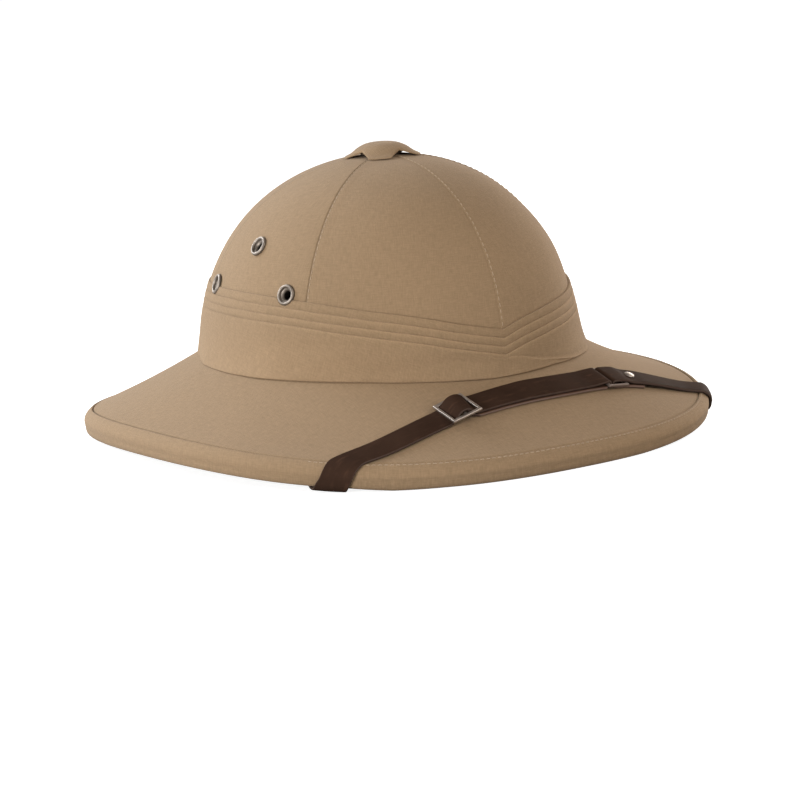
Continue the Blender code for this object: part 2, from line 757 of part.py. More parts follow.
def build_eyelets(shell, gores, band):
    flange, barrel, bore = EYELET_FLANGE_RADIUS, EYELET_BARREL_RADIUS, EYELET_BORE_RADIUS
    back = -(SKIN + CROWN_WALL + EYELET_WASHER_GAP)
    washer, end = flange - EYELET_WASHER, back - EYELET_WASHER
    high = EYELET_FLANGE_HEIGHT
    profile = (
        (bore, end), (washer, end), (washer, back), (barrel, back),
        (barrel, 2 * GAP), (flange, 2 * GAP), (flange - EYELET_ROLL, high), (bore, high),
    )
    for side, side_name in ((-1, "right"), (1, "left")):
        for number, (degrees, rise) in enumerate(EYELET_TURNS_RISES):
            turn = radians(side * degrees)
            place = eyelet_place(turn, rise)
            tag = "%s_%d" % (side_name, number + 1)
            turned("eyelet_" + tag, profile, place, EYELET_SIDES, nickel())
            hole = hidden_cutter("hole_" + tag, barrel + GAP, *HOLE_ENDS, place, HOLE_SIDES)
            cut(shell, hole)
            gore = next(made for made, turns in gores if turns[0] < turn < turns[-1])
            cut(gore, hole)
            if place.translation.z - flange < lookup(BAND_TOP, side * degrees):
                notch = hidden_cutter("notch_" + tag, flange + GAP, *NOTCH_ENDS, place, HOLE_SIDES)
                cut(band, notch)


# ---------------------------------------------------------------- chin strap

def strap_bed(turn):
    """Line that the strap lies on, from inside the crown, under the brim, round the rim and up it.

    Returns points and, for each, its distance along the line from the rim's seam.
    """
    section = BrimSection(turn)
    under = SKIN + BRIM_WALL + GAP
    down = [section.place(out_up) for out_up in rim_line(section)]
    down.append(section.place(section.flat(BRIM_UNDER_SHARES[-1], under)))
    down += opening_rows(section, under)
    down += [crown_inside(turn, rise, SKIN + CROWN_WALL) for rise in SHELL_INNER_RISES[:3]]
    up = [section.place(section.flat(part / 8.0)) for part in range(1, 9)]
    points = down[::-1] + up
    seam = len(down) - 1
    ways = [0.0]
    for first, second in zip(points, points[1:]):
        ways.append(ways[-1] + (second - first).length)
    return points, [way - ways[seam] for way in ways]


def bed_point(turn, way):
    points, ways = strap_bed(turn)
    for index in range(len(points) - 1):
        if way <= ways[index + 1]:
            break
    share = (way - ways[index]) / (ways[index + 1] - ways[index])
    return points[index].lerp(points[index + 1], share)


def bed_frame(turn, way):
    """Outward normal of the bed and its two tangents: round the helmet and up the brim."""
    angle = radians(1.0)
    around = (bed_point(turn + angle, way) - bed_point(turn - angle, way)) / (2 * angle)
    upward = (bed_point(turn, way + BED_REACH) - bed_point(turn, way - BED_REACH)).normalized()
    return around.cross(upward).normalized(), around, upward


def rim_share(way):
    """1 round the rim, 0 well away from it; there the strap's sections lie parallel to the rim."""
    inner, low, high, outer = STRAP_RIM_WAYS
    share = min((way - inner) / (low - inner), (outer - way) / (outer - high))
    return min(max(share, 0.0), 1.0)


class StrapLane:
    """The strap's centre line on its bed: a place along it, across it and over it gives a point."""

    def __init__(self, route):
        knots = [(radians(turn), way) for turn, way in route]
        fine = []
        for index in range(len(knots) - 1):
            p = [Vector(knots[min(max(index + shift, 0), len(knots) - 1)]) for shift in (-1, 0, 1, 2)]
            for part in range(6):
                t = part / 6
                square = (2 * p[0] - 5 * p[1] + 4 * p[2] - p[3]) * t * t
                cube = (3 * p[1] - p[0] - 3 * p[2] + p[3]) * t ** 3
                fine.append(0.5 * (2 * p[1] + (p[2] - p[0]) * t + square + cube))
        fine.append(Vector(knots[-1]))
        self.marks = fine
        self.ways = [0.0]
        spots = [bed_point(*mark) for mark in fine]
        for first, second in zip(spots, spots[1:]):
            self.ways.append(self.ways[-1] + (second - first).length)
        self.length = self.ways[-1]

    def mark(self, along):
        for index in range(len(self.ways) - 1):
            if along <= self.ways[index + 1]:
                break
        share = (along - self.ways[index]) / (self.ways[index + 1] - self.ways[index])
        return self.marks[index].lerp(self.marks[index + 1], share)

    def along_at(self, degrees):
        """Distance along the lane where it passes a turn on top of the brim."""
        low, high = 0.0, self.length
        for _ in range(40):
            middle = (low + high) / 2
            low, high = (middle, high) if self.mark(middle).x < radians(degrees) else (low, middle)
        return low

    def point(self, along, across=0.0, over=0.0):
        mark = self.mark(along)
        ahead = self.mark(min(along + STRAP_REACH, self.length)) - self.mark(max(along - STRAP_REACH, 0.0))
        metric = bed_frame(*mark)[1].length
        run = Vector((ahead.x * metric, ahead.y)).normalized()
        skew = rim_share(mark.y) * -run.x / run.y if rim_share(mark.y) else 0.0
        spot = mark + Vector(((run.x * skew - run.y) * across / metric, (run.y * skew + run.x) * across))
        return bed_point(*spot) + bed_frame(*spot)[0] * over


def bow(spots, start, end):
    """Greatest distance of the points between two sections from the chords over them."""
    chords = [(first, (second - first).normalized()) for first, second in zip(spots[start], spots[end])]
    return max((spot - origin).cross(direction).length
               for row in spots[start:end] for spot, (origin, direction) in zip(row, chords))


def layer_path(points, lane):
    """Points (along, over) on straight lines between the given ones, closer where the bed bends."""
    path = [points[0]]
    for first, second in zip(points, points[1:]):
        count = max(1, round(abs(second[0] - first[0]) / STRAP_FINE_STEP))
        fine = [Vector(first).lerp(Vector(second), part / count) for part in range(count + 1)]
        spots = [[lane.point(spot.x, across, spot.y) for across in STRAP_ACROSS] for spot in fine]
        start = 0
        while start < count:
            end = start + 1
            while end < count and (end + 1 - start) * STRAP_FINE_STEP <= STRAP_STEP:
                if bow(spots, start, end + 1) > STRAP_BOW:
                    break
                end += 1
            path.append(tuple(fine[end]))
            start = end
    return path


def fold(middle, over, radius, direction):
    """Half turn of leather round a bar; direction is 1 where the fold closes towards the strap's end."""
    steps = 6
    return [(middle + direction * radius * sin(pi * i / steps), over + radius * cos(pi * i / steps))
            for i in range(steps + 1)]


def leather_strip(name, lane, path):
    """Strip of leather whose middle follows a path of (along, over)."""
    half = STRAP_THICKNESS / 2
    sections = []
    for index, (along, over) in enumerate(path):
        before, after = path[max(index - 1, 0)], path[min(index + 1, len(path) - 1)]
        run, rise = after[0] - before[0], after[1] - before[1]
        length = sqrt(run * run + rise * rise)
        lean_along, lean_over = -rise / length * half, run / length * half
        upper, lower = [], []
        for across in STRAP_ACROSS:
            upper.append(lane.point(along + lean_along, across, over + lean_over))
            lower.append(lane.point(along - lean_along, across, over - lean_over))
        sections.append(lower + upper[::-1])
    return closed_loft(name, sections, leather(), False)


def frame_solid(name, length, width, bars_across, place, finish):
    """Flat metal frame in its own XY plane; bars_across are the middles of its cross bars along X."""
    half = BAR / 2
    xs = sorted(x for middle in bars_across for x in (middle - half, middle + half))
    ys = [-width / 2, -width / 2 + BAR, width / 2 - BAR, width / 2]
    columns, rows = len(xs) - 1, len(ys) - 1
    solid = {(i, j) for i in range(columns) for j in range(rows) if i % 2 == 0 or j != 1}
    made = bmesh.new()
    corner = {}
    for level, z in enumerate((-half, half)):
        for i, x in enumerate(xs):
            for j, y in enumerate(ys):
                corner[i, j, level] = made.verts.new(place @ Vector((x, y, z)))
    for i, j in solid:
        low = [corner[a, b, 0] for a, b in ((i, j), (i, j + 1), (i + 1, j + 1), (i + 1, j))]
        high = [corner[a, b, 1] for a, b in ((i, j), (i + 1, j), (i + 1, j + 1), (i, j + 1))]
        made.faces.new(low)
        made.faces.new(high)
        walls = (
            ((i - 1, j), (i, j + 1), (i, j)),
            ((i + 1, j), (i + 1, j), (i + 1, j + 1)),
            ((i, j - 1), (i, j), (i + 1, j)),
            ((i, j + 1), (i + 1, j + 1), (i, j + 1)),
        )
        for beside, first, second in walls:
            if beside not in solid:
                quad = ((*first, 0), (*second, 0), (*second, 1), (*first, 1))
                made.faces.new([corner[key] for key in quad])
    loose = [vert for vert in made.verts if not vert.link_faces]
    bmesh.ops.delete(made, geom=loose, context="VERTS")
    mesh = bpy.data.meshes.new(name)
    made.to_mesh(mesh)
    made.free()
    mesh.materials.append(finish)
    frame = bpy.data.objects.new(name, mesh)
    bpy.context.collection.objects.link(frame)
    return frame


def place_between(lane, first, second):
    """Frame placed between two (along, over) points of the lane, X along the strap."""
    start, end = lane.point(first[0], 0.0, first[1]), lane.point(second[0], 0.0, second[1])
    middle = (first[0] + second[0]) / 2
    side = lane.point(middle, 1.0 * MM, first[1]) - lane.point(middle, -1.0 * MM, first[1])
    ahead = end - start
    return facing((start + end) / 2, ahead.cross(side), ahead)


def build_strap(shell):
    lane = StrapLane(STRAP_ROUTE)
    flat = STRAP_LIFT + STRAP_THICKNESS / 2            # one layer on the brim
    doubled = flat + STRAP_THICKNESS + GAP             # a second layer on the first
    turn_radius = BAR * sqrt(0.5) + GAP + STRAP_THICKNESS / 2 + FOLD_ROOM
    loop = flat + turn_radius                          # height of a bar inside a fold
    raised = loop + turn_radius                        # layer over such a bar
    slider = lane.along_at(SLIDER_TURN)
    reach = (SLIDER_LENGTH - BAR) / 2
    left_bar = flat + STRAP_THICKNESS / 2 + LEFT_BAR_OVER + BAR / 2
    right_bar = doubled + STRAP_THICKNESS / 2 + GAP + RIGHT_BAR_OVER + BAR / 2
    hump = (left_bar + right_bar) / 2 + BAR / 2 + GAP + STRAP_THICKNESS / 2 + FOLD_ROOM + HUMP_OVER
    shoulder = hump - HUMP_CROWN
    ring = lane.along_at(RING_TURN)
    ring_reach = (RING_LENGTH - BAR) / 2
    ring_in, ring_out = ring - ring_reach, ring + ring_reach
    short_fold = ring_in + 2 * turn_radius + STRAP_THICKNESS + GAP     # slack: it nearly meets the long part

    long_points = [(0.0, flat), (slider - SLIDER_APPROACH[0], flat)]
    long_points += [(slider - SLIDER_APPROACH[1], flat + SLIDER_LOOSE)]
    long_points += [(slider - HUMP_HALF, shoulder), (slider, hump), (slider + HUMP_HALF, shoulder)]
    long_points += [(slider + HUMP_END, doubled)]
    long_points += [(ring_in - RING_RISE[0], doubled), (ring_in - RING_RISE[1], raised)]
    long_path = layer_path(long_points, lane) + fold(ring_in, loop, turn_radius, 1)
    long_path += layer_path([(ring_in - RING_RISE[1], flat), (slider - DOUBLED_END, flat)], lane)
    strap_long = leather_strip("strap_long", lane, long_path)

    tail = ring_out + SHORT_TAIL
    short_points = [(lane.length, flat), (lane.along_at(STRAP_SETTLES), flat), (tail + TAIL_STEP, doubled)]
    short_points += [(ring_out + RING_FALL[1], doubled), (ring_out + RING_FALL[0], raised)]
    short_points.append((short_fold + RING_FALL[0], raised))
    short_path = layer_path(short_points, lane) + fold(short_fold, loop, turn_radius, -1)
    short_path += layer_path([(short_fold + RING_FALL[0], flat), (tail, flat)], lane)
    strap_short = leather_strip("strap_short", lane, short_path[::-1])

    slider_place = place_between(lane, (slider - reach, left_bar), (slider + reach, right_bar))
    slider_place = slider_place @ Matrix.Rotation(radians(-SLIDER_TILT), 4, "X")
    frame_solid("slider_buckle", SLIDER_LENGTH, SLIDER_WIDTH, (-reach, 0.0, reach), slider_place, nickel())
    ring_place = place_between(lane, (ring_in, loop), (ring_out, loop))
    frame_solid("strap_ring", RING_LENGTH, RING_WIDTH, (-ring_reach, ring_reach), ring_place, nickel())

    build_rivet(lane, ring_out + RIVET_PAST_RING, doubled, strap_short)
    build_anchor("strap_anchor_right", lane, ANCHOR_INSET, flat, (strap_long, shell))
    build_anchor("strap_anchor_left", lane, lane.length - ANCHOR_INSET, flat, (strap_short, shell))


def lane_place(lane, along):
    origin = lane.point(along)
    ahead = lane.point(along + MM) - lane.point(along - MM)
    return facing(origin, lane.point(along, 0.0, MM) - origin, ahead)


def build_rivet(lane, along, layer, strap):
    place = lane_place(lane, along)
    top = layer + STRAP_THICKNESS / 2 + GAP
    head, shank, high = RIVET_HEAD_RADIUS, RIVET_SHANK_RADIUS, RIVET_HEAD_HEIGHT
    profile = ((0.0, STRAP_LIFT + GAP), (shank, STRAP_LIFT + GAP), (shank, top), (head, top),
               (head * 0.96, top + high * 0.35), (head * 0.62, top + high * 0.82), (0.0, top + high))
    turned("strap_rivet", profile, place, RIVET_SIDES, nickel())
    cut(strap, hidden_cutter("rivet_hole", shank + GAP, -RIVET_HEAD_HEIGHT, top + MM, place, HOLE_SIDES))


def build_anchor(name, lane, along, layer, pieces):
    """Plain rivet that holds a strap's end to the inside of the crown."""
    place = lane_place(lane, along)
    top = layer + STRAP_THICKNESS / 2 + GAP
    head, shank = ANCHOR_HEAD_RADIUS, RIVET_SHANK_RADIUS
    profile = ((0.0, -ANCHOR_DEPTH), (shank, -ANCHOR_DEPTH), (shank, top), (head, top),
               (head * 0.8, top + MM), (0.0, top + MM))
    turned(name, profile, place, ANCHOR_SIDES, nickel())
    hole = hidden_cutter(name + "_hole", shank + GAP, -ANCHOR_DEPTH - GAP, top + MM, place, ANCHOR_SIDES)
    for piece in pieces:
        cut(piece, hole)


# ---------------------------------------------------------------- the helmet

def main():
    for old in list(bpy.data.objects):
        bpy.data.objects.remove(old)
    shell = build_shell()
    gores = [(build_gore(index), turns_of_gore(index)) for index in range(len(GORE_SEAM_TURNS))]
    build_brim_cover()
    build_rim_binding()
    band = build_band()
    build_cap()
    build_post()
    build_eyelets(shell, gores, band)
    build_strap(shell)


main()
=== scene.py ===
"""Looks of the pith helmet: fine cloth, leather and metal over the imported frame.

Metres, +Z up, the helmet's front towards -Y and the wearer's left at +X. A "turn" is the angle round the
helmet from its front, positive towards +X, a "rise" runs up the crown from its foot, 0, to its top, 1, and
a "way" is the distance up the brim from the stitched seam of its rim, negative over the edge.
"""
from math import asin, copysign, cos, pi, radians, sin, sqrt

import bpy
from mathutils import Matrix, Vector, noise


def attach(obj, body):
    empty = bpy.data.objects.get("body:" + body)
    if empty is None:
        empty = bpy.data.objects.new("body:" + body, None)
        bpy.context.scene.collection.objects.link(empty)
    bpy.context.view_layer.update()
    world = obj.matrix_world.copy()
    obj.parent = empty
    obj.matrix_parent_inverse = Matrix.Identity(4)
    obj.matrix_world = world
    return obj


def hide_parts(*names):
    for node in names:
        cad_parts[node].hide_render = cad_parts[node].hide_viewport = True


MM = 0.001
GAP = 0.3 * MM


def in_mm(*rows):
    """Rows of millimetres, in metres."""
    return [tuple(size * MM for size in row) for row in rows]


def by_turn(*rows):
    """Table of millimetres by turn in degrees, in metres."""
    return [(turn, size * MM) for turn, size in rows]


# Crown and brim: the same driving sizes as the solids
CROWN_HALF_WIDTH = 95.3 * MM
CROWN_HALF_LENGTH = 112.0 * MM
CROWN_CENTRE_Y = 1.9 * MM
CROWN_FOOT_Z = 48.0 * MM
CROWN_HEIGHT = 101.0 * MM
CROWN_ROUNDNESS = 2.12
CROWN_TOP_Y = -6.8 * MM
CROWN_WALL = 6.0 * MM
CROWN_SWELL = 1.1 * MM
BAND_FOOT_OUT = 5.4 * MM
BAND_FOOT_Z = 41.8 * MM
BAND_FOOT_SADDLE = -1.8 * MM
RIM_HALF_WIDTH = 149.9 * MM
RIM_HALF_LENGTH = 171.9 * MM
RIM_SQUARENESS = 2.38
RIM_SEAM_Z = 15.3 * MM
RIM_SADDLE = -4.0 * MM
RIM_RIPPLE = 0.84 * MM
RIM_DEPTH = 10.9 * MM
BRIM_SAG = by_turn(  # its hollow
    (-180, 2.0), (-122, 0.9), (-60, 1.8), (0, 2.0), (58, 2.7), (180, 2.0))
BRIM_WALL = 7.0 * MM
CLOTH = 1.0 * MM
SKIN = CLOTH + GAP
CLOTH_TOP_RISE = 0.985  # crown cloth and pith close here, under the cap
CLOTH_FOOT_OVER = 3 * MM  # and they start this far over the brim's cloth

# Outer side of the rim's binding: a lip over the brim's cloth, then two soft lobes with a dent between
RIM_SECTION = in_mm(  # out, down
    (-0.3, 0.7), (-0.1, 0.1), (0.5, -0.15), (1.5, 0.4), (2.9, 1.4), (4.4, 3.1), (5.0, 5.0), (4.6, 7.0),
    (4.5, 8.6), (3.7, 10.2), (1.6, 10.9), (-1.6, 10.9))
RIM_DEEPER = by_turn(  # how much deeper the binding reaches
    (-180, 1.3), (-168, 1.3), (-130, 2.4), (-100, 2.4), (-65, 1.8), (-53, 1.5), (-44, 1.35), (-35, 2.1),
    (-25, 1.5), (-12, 1.3), (12, 1.3), (35, 0.2), (120, 0.2), (168, 1.3), (180, 1.3))
RIM_INNER_CORNERS = in_mm((-0.4, 1.4), (3.6, 3.9), (3.4, 8.4), (1.4, 9.7), (-1.6, 9.7))  # out, down
BINDING_TUCK = 0.20
BRIM_STATIONS = 360
RIM_STATIONS = 480
SHELL_STATIONS = 180
RIM_STITCH_OUT = 1.3 * MM  # stitches beside the rim's seam
# By turn: painted shade of the brim's cloth in the seam
RIM_SEAM_SHADE = ((-180, -0.35), (-80, -0.35), (-50, -0.15), (20, -0.15), (60, -0.3), (180, -0.35))
RIM_SEAM_REACH = 0.9 * MM
# By turn: painted shade on the binding's lower lobe, which turns under
RIM_UNDER_SHADE = ((-180, 0.0), (-75, 0.02), (-45, -0.09), (180, -0.09))  # tone of the lower lobe
# Painted shade in the soft dent between the lobes
RIM_CREASE_SHADE = -0.10  # of the soft dent between the lobes
RIM_CREASE_DOWN = 6.0 * MM
RIM_STITCHES_FROM = -52.0  # turn; on the wearer's right the stitches lie deep in the cloth

GORE_SEAM_TURNS = (-114.0, -62.0, 0.0, 62.0, 114.0, 180.0)
GORE_ROWS = 64
GORE_EDGE_OFFSETS = (0.12, 0.3, 0.5, 0.8, 1.2, 1.7, 2.3, 3.0, 3.9, 5.0, 6.5)  # mm from a seam
GORE_INNER_COLUMNS = 26
GORE_CLOTH_RUN = 0.165  # metres of cloth from the crown's foot to its top
WELT_WIDTH = 4.2 * MM  # seam allowance pressed to one side under the cloth
WELT_HEIGHT = 0.22 * MM
SEAM_GROOVE = 0.3 * MM
SEAM_SHADES = {
    # turn: painted shade of the seam, its reach before the seam and after it
    -114.0: (-0.42, 1.6 * MM, 0.8 * MM),
    -62.0: (-0.24, 0.9 * MM, 0.9 * MM),
    0.0: (-0.03, 0.9 * MM, 0.9 * MM),
}
# Painted shade along the other seams
SEAM_SHADE = (-0.12, 0.9 * MM, 0.9 * MM)  # the other seams
SEAM_SHARES = {0.0: 0.2}  # the seam over the V is flatter than the others
SUNK_STITCHES = -114.0  # the seam whose stitches lie deep in the cloth
SEAM_WOBBLE = 0.3 * MM
SEAM_TOP_RISE = 0.93  # its stitches end under the cap
WELT_STITCH = 0.9 * MM
STITCH_PITCH = 3.3 * MM
STITCH_LENGTH = 2.4 * MM
STITCH_RADIUS = 0.25 * MM
RIM_STITCH_PITCH = 3.0 * MM
RIM_STITCH_LENGTH = 2.2 * MM

# Wound band
BAND_TOP = by_turn(  # height of its upper edge, with the V at the front
    (-180, 82.8), (-150, 84.1), (-116, 85.3), (-90, 85.9), (-65, 83.9), (-45, 79.7), (-28, 74.9), (-12, 68.5),
    (0, 63.9), (8, 67.7), (18, 70.5), (28, 72.3), (42, 74.3), (60, 77.3), (90, 81.3), (120, 83.3),
    (150, 83.5), (180, 82.8))
PLEAT_DROPS = [drop * MM for drop in (0.0, 4.4, 8.8, 12.8)]
PLEAT_LIP = 0.45 * MM
BAND_FIRST_OUT = by_turn(  # how far the uppermost fold stands out from the crown
    (-180, 1.5), (-150, 0.9), (-90, 0.9), (-50, 1.15), (-20, 1.3), (30, 1.8), (60, 3.0), (90, 2.3),
    (120, 1.9), (180, 1.5))
BAND_STEP_OUT = by_turn(  # how far each lower fold stands out over the one above
    (-180, 0.50), (-150, 0.08), (-95, 0.08), (-55, 0.55), (-25, 0.78), (30, 0.65), (60, 0.35), (110, 0.35),
    (180, 0.50))
BAND_HEM_OUT = by_turn(  # how far the band's foot stands out
    (-180, 5.0), (-150, 2.6), (-115, 2.6), (-104, 5.0), (-90, 6.0), (-75, 6.4), (-62, 5.6), (-42, 4.5),
    (-22, 5.2), (-6, 6.5), (18, 6.0), (30, 7.6), (42, 9.0), (62, 8.4), (110, 7.9), (180, 5.0))
BAND_HEM_ROLL = by_turn(  # how thick the hem is at the foot
    (-180, 0.8), (-118, 0.8), (-108, 0.3), (-88, 0.3), (-62, 0.8), (8, 0.8), (24, 0.45), (60, 0.45),
    (90, 0.8), (180, 0.8))
BAND_BEND = (  # turn, how late the plain wrap leans out to its foot
    (-180, 4.0), (-118, 4.0), (-100, 2.6), (-68, 2.6), (-50, 4.0), (15, 4.0), (50, 1.6), (120, 1.6),
    (180, 4.0))
# Painted light on the plain wrap: lighter on the wearer's right, a little darker at its left front
BAND_LIGHTER = (  # turn, tone of the plain wrap
    (-180, 0.05), (-95, 0.06), (-73, 0.10), (-55, 0.05), (-42, 0.0), (30, 0.0), (48, -0.08), (180, 0.0))
WRAP_EDGE = by_turn(  # height of the outer wrap's edge as it runs down from the V
    (0, 51.4), (6, 48.6), (13, 45.6), (20, 43.5), (30, 41.2), (44, 39.0))
WRAP_END_TURN = 44.0
WRAP_STEP_OUT = 0.6 * MM
BAND_GAP = 0.5 * MM
BAND_STATIONS = 540
BAND_LEAN = 12.0  # degrees that the lie of its cloth is turned by

# Vent cap on four feet
CAP_CENTRE_X = 0.5 * MM
CAP_TURN = -36.5
CAP_RADIUS = 20.4 * MM
CAP_FOOT_RADIUS = CAP_RADIUS * 0.98  # at the ends of a foot
CAP_NOTCH_RADIUS = 14.0 * MM
CAP_FOOT_HALF_ANGLE = 19.3
CAP_WALL = 1.5 * MM
CAP_PROFILE = in_mm((0, 4.8), (5.0, 4.7), (9.4, 4.1), (13.4, 2.6), (16.8, 0.9), (20.4, 0))  # radius, height
CAP_SPOKES = 176
POST_RADIUS = 5.0 * MM
POST_HEAD_RADIUS = 11.5 * MM
POST_HEAD_OVER = 0.4 * MM
# Painted shade: the post is seen only in shadow behind the cap's feet
POST_SHADE = -0.6

EYELET_TURNS_RISES = ((69.4, 0.233), (88.8, 0.394), (107.4, 0.233))
EYELET_FLANGE_RADIUS = 5.5 * MM
EYELET_FLANGE_HEIGHT = 1.7 * MM
EYELET_BARREL_RADIUS = 3.6 * MM
EYELET_BORE_RADIUS = 2.2 * MM
# Painted shade on the eyelets: at the flange's foot, in the funnel and down the bore
EYELET_FOOT_SHADE = -0.55
EYELET_FUNNEL_SHADE = -0.15
EYELET_BORE_SHADE = -0.8

# Chin strap
STRAP_WIDTH = 14.4 * MM
STRAP_THICKNESS = 1.4 * MM
STRAP_LIFT = 0.6 * MM
STRAP_STEP = 1.6 * MM
STRAP_ARRIS = 0.45 * MM
FRAME_ARRIS = 0.42 * MM
UNDER_WIDER = 1.13  # the lower layers reach out beside the upper ones
# Painted highlight on the cut edges of the lower layers
EDGE_PAINTED_HIGHLIGHT = 1.35  # tone of the cut edges of the lower layers
STRAP_RIM_WAYS = [way * MM for way in (-32.0, -19.0, 0.0, 20.0)]
STRAP_ROUTE = by_turn(  # the way of its centre line
    (-74.0, -99.0), (-74.0, -86.0), (-72.5, -74.0), (-66.0, -58.0), (-58.0, -43.0), (-52.0, -29.0),
    (-47.0, -13.0), (-43.5, 0.0), (-37.0, 13.8), (-30.7, 26.0), (-24.3, 35.6), (-17.5, 42.4), (-9.0, 46.2),
    (0.0, 47.5), (9.5, 48.2), (18.0, 47.6), (25.1, 45.0), (31.0, 41.0), (36.8, 33.5), (43.2, 21.0),
    (50.0, 0.0), (54.5, -13.0), (59.0, -27.0), (63.5, -41.0), (68.0, -54.0), (72.5, -68.0), (74.0, -80.0),
    (74.0, -93.0))
STRAP_SETTLES = 47.0  # turn where the short part comes down onto the brim
SLIDER_TURN = -19.5
SLIDER_TILT = 6.0  # its near side stands higher
SLIDER_LENGTH = 17.5 * MM
SLIDER_WIDTH = 18.8 * MM
SLIDER_SIDE_BAR = 1.9 * MM
RING_TURN = 27.3
RING_LENGTH = 15.6 * MM
RING_WIDTH = 18.0 * MM
BAR = 1.5 * MM
RIVET_PAST_RING = 8.7 * MM
RIVET_HEAD_RADIUS = 2.9 * MM
RIVET_HEAD_HEIGHT = 1.5 * MM
RIVET_SHANK_RADIUS = 1.2 * MM
SHORT_TAIL = 15.0 * MM

CLOTH_MAP = "cloth_metres"  # map of the lie of the cloth, in metres
# Tones are painted light and shade: darker in seams, creases, hollows and undersides, lighter on fold lips
# and edges
TONE = "tone"  # attribute: share that a point's colour is lighter or darker

# Camera of the photograph
CAMERA_TURN = -32.36
CAMERA_RISE = 10.65
CAMERA_ROLL = 3.70
CAMERA_DISTANCE = 1.679
CAMERA_AIM = Vector((0.0, 0.0, 3.7 * MM))
FRAME_PIXELS = 800
PIXELS_PER_MM = 1.83  # at the aim
AIM_PIXEL = (391.76, 418.06)
SENSOR = 36.0


# ---- numbers and surfaces

def in_degrees(turn):
    return turn * 180 / pi


def lookup(table, position):
    """Value of a two-column table at a position, on straight lines between its rows."""
    for (start, low), (end, high) in zip(table, table[1:]):
        if position <= end:
            return low + (high - low) * (position - start) / (end - start)
    return table[-1][1]


def smooth_lookup(table, position, corner=None):
    """The same on a smooth curve, which keeps its kink at one corner position."""
    last = len(table) - 1
    index = next((i for i in range(last) if position <= table[i + 1][0]), last - 1)

    def secant(i):
        return (table[i + 1][1] - table[i][1]) / (table[i + 1][0] - table[i][0])

    def slope(i, side):
        if i == 0 or i == last or table[i][0] == corner:
            return secant(min(max(i - (side > 0), 0), last - 1))
        return (secant(i - 1) + secant(i)) / 2

    (start, low), (end, high) = table[index], table[index + 1]
    width = end - start
    t = (position - start) / width
    low_slope, high_slope = slope(index, -1) * width, slope(index + 1, 1) * width
    return (low * (1 + 2 * t) * (1 - t) ** 2 + low_slope * t * (1 - t) ** 2
            + high * t * t * (3 - 2 * t) - high_slope * t * t * (1 - t))


def ramp(value, start, end):
    """0 at start, 1 at end, with an easy curve between."""
    share = min(max((value - start) / (end - start), 0.0), 1.0)
    return share * share * (3 - 2 * share)


def fading(distance, reach):
    """1 at no distance, straight down to 0 at the reach."""
    return max(0.0, 1.0 - distance / reach)


def spread(start, end, steps):
    return [start + (end - start) * step / steps for step in range(steps + 1)]


def arc(*angles):
    """Cosine and sine of each angle in degrees."""
    return [(cos(radians(angle)), sin(radians(angle))) for angle in angles]


def smooth_line(points, parts):
    """Points on a smooth curve through the given ones."""
    knots = [Vector(point) for point in points]
    line = []
    for index in range(len(knots) - 1):
        p = [knots[min(max(index + shift, 0), len(knots) - 1)] for shift in (-1, 0, 1, 2)]
        for part in range(parts):
            t = part / parts
            line.append(0.5 * (2 * p[1] + (p[2] - p[0]) * t + (2 * p[0] - 5 * p[1] + 4 * p[2] - p[3]) * t * t
                               + (3 * p[1] - p[0] - 3 * p[2] + p[3]) * t ** 3))
    return line + knots[-1:]


def distances(points):
    """Each point's distance along the line of points."""
    ways = [0.0]
    for first, second in zip(points, points[1:]):
        ways.append(ways[-1] + (second - first).length)
    return ways


def stretch_at(ways, way):
    """Index of the stretch of a line that a way along it falls in, and how far through that stretch."""
    index = next((i for i in range(len(ways) - 1) if way <= ways[i + 1]), len(ways) - 2)
    return index, (way - ways[index]) / (ways[index + 1] - ways[index])


def point_at(points, ways, way):
    index, share = stretch_at(ways, way)
    return points[index].lerp(points[index + 1], share)


def oval(turn, half_width, half_length, exponent=2.0):
    power = 2.0 / exponent
    across, along = sin(turn), -cos(turn)
    return Vector((copysign(abs(across) ** power * half_width, across),
                   copysign(abs(along) ** power * half_length, along), 0.0))


def crown_middle_y(climb):
    return CROWN_CENTRE_Y + (CROWN_TOP_Y - CROWN_CENTRE_Y) * climb


def crown_at(turn, rise):
    """Outer surface of the crown's cloth."""
    angle = max(rise, 0.0) * pi / 2
    spread_out = cos(angle) ** (2 / CROWN_ROUNDNESS) if rise < 1.0 else 0.0
    climb = sin(angle) ** (2 / CROWN_ROUNDNESS)
    point = oval(turn, CROWN_HALF_WIDTH, CROWN_HALF_LENGTH) * spread_out
    point.y += crown_middle_y(climb)
    point.z = CROWN_FOOT_Z + CROWN_HEIGHT * (climb + min(rise, 0.0))
    return point


def crown_normal(turn, rise):
    step = 0.002
    low = min(rise, 1.0 - 2 * step) - step
    around = crown_at(turn + step, low) - crown_at(turn - step, low)
    upward = crown_at(turn, low + 2 * step) - crown_at(turn, low)
    return around.cross(upward).normalized()


def crown_inside(turn, rise, depth):
    return crown_at(turn, rise) - crown_normal(turn, rise) * depth


def rise_at_height(height):
    climb = min(max((height - CROWN_FOOT_Z) / CROWN_HEIGHT, 0.0), 1.0)
    return asin(climb ** (CROWN_ROUNDNESS / 2)) * 2 / pi


def beside_crown(turn, height, out):
    """Point at a height, level with the crown's surface there and this far outside it."""
    point = crown_at(turn, rise_at_height(height))
    point.z = height
    slope = Vector((sin(turn) / CROWN_HALF_WIDTH, -cos(turn) / CROWN_HALF_LENGTH, 0.0))
    return point + slope.normalized() * out


def crown_over(x, y):
    """Height of the crown's top surface over a point near its middle."""
    climb = 1.0
    for _ in range(6):
        away = sqrt((x / CROWN_HALF_WIDTH) ** 2 + ((y - crown_middle_y(climb)) / CROWN_HALF_LENGTH) ** 2)
        climb = (1.0 - away ** CROWN_ROUNDNESS) ** (1 / CROWN_ROUNDNESS)
    return CROWN_FOOT_Z + CROWN_HEIGHT * climb


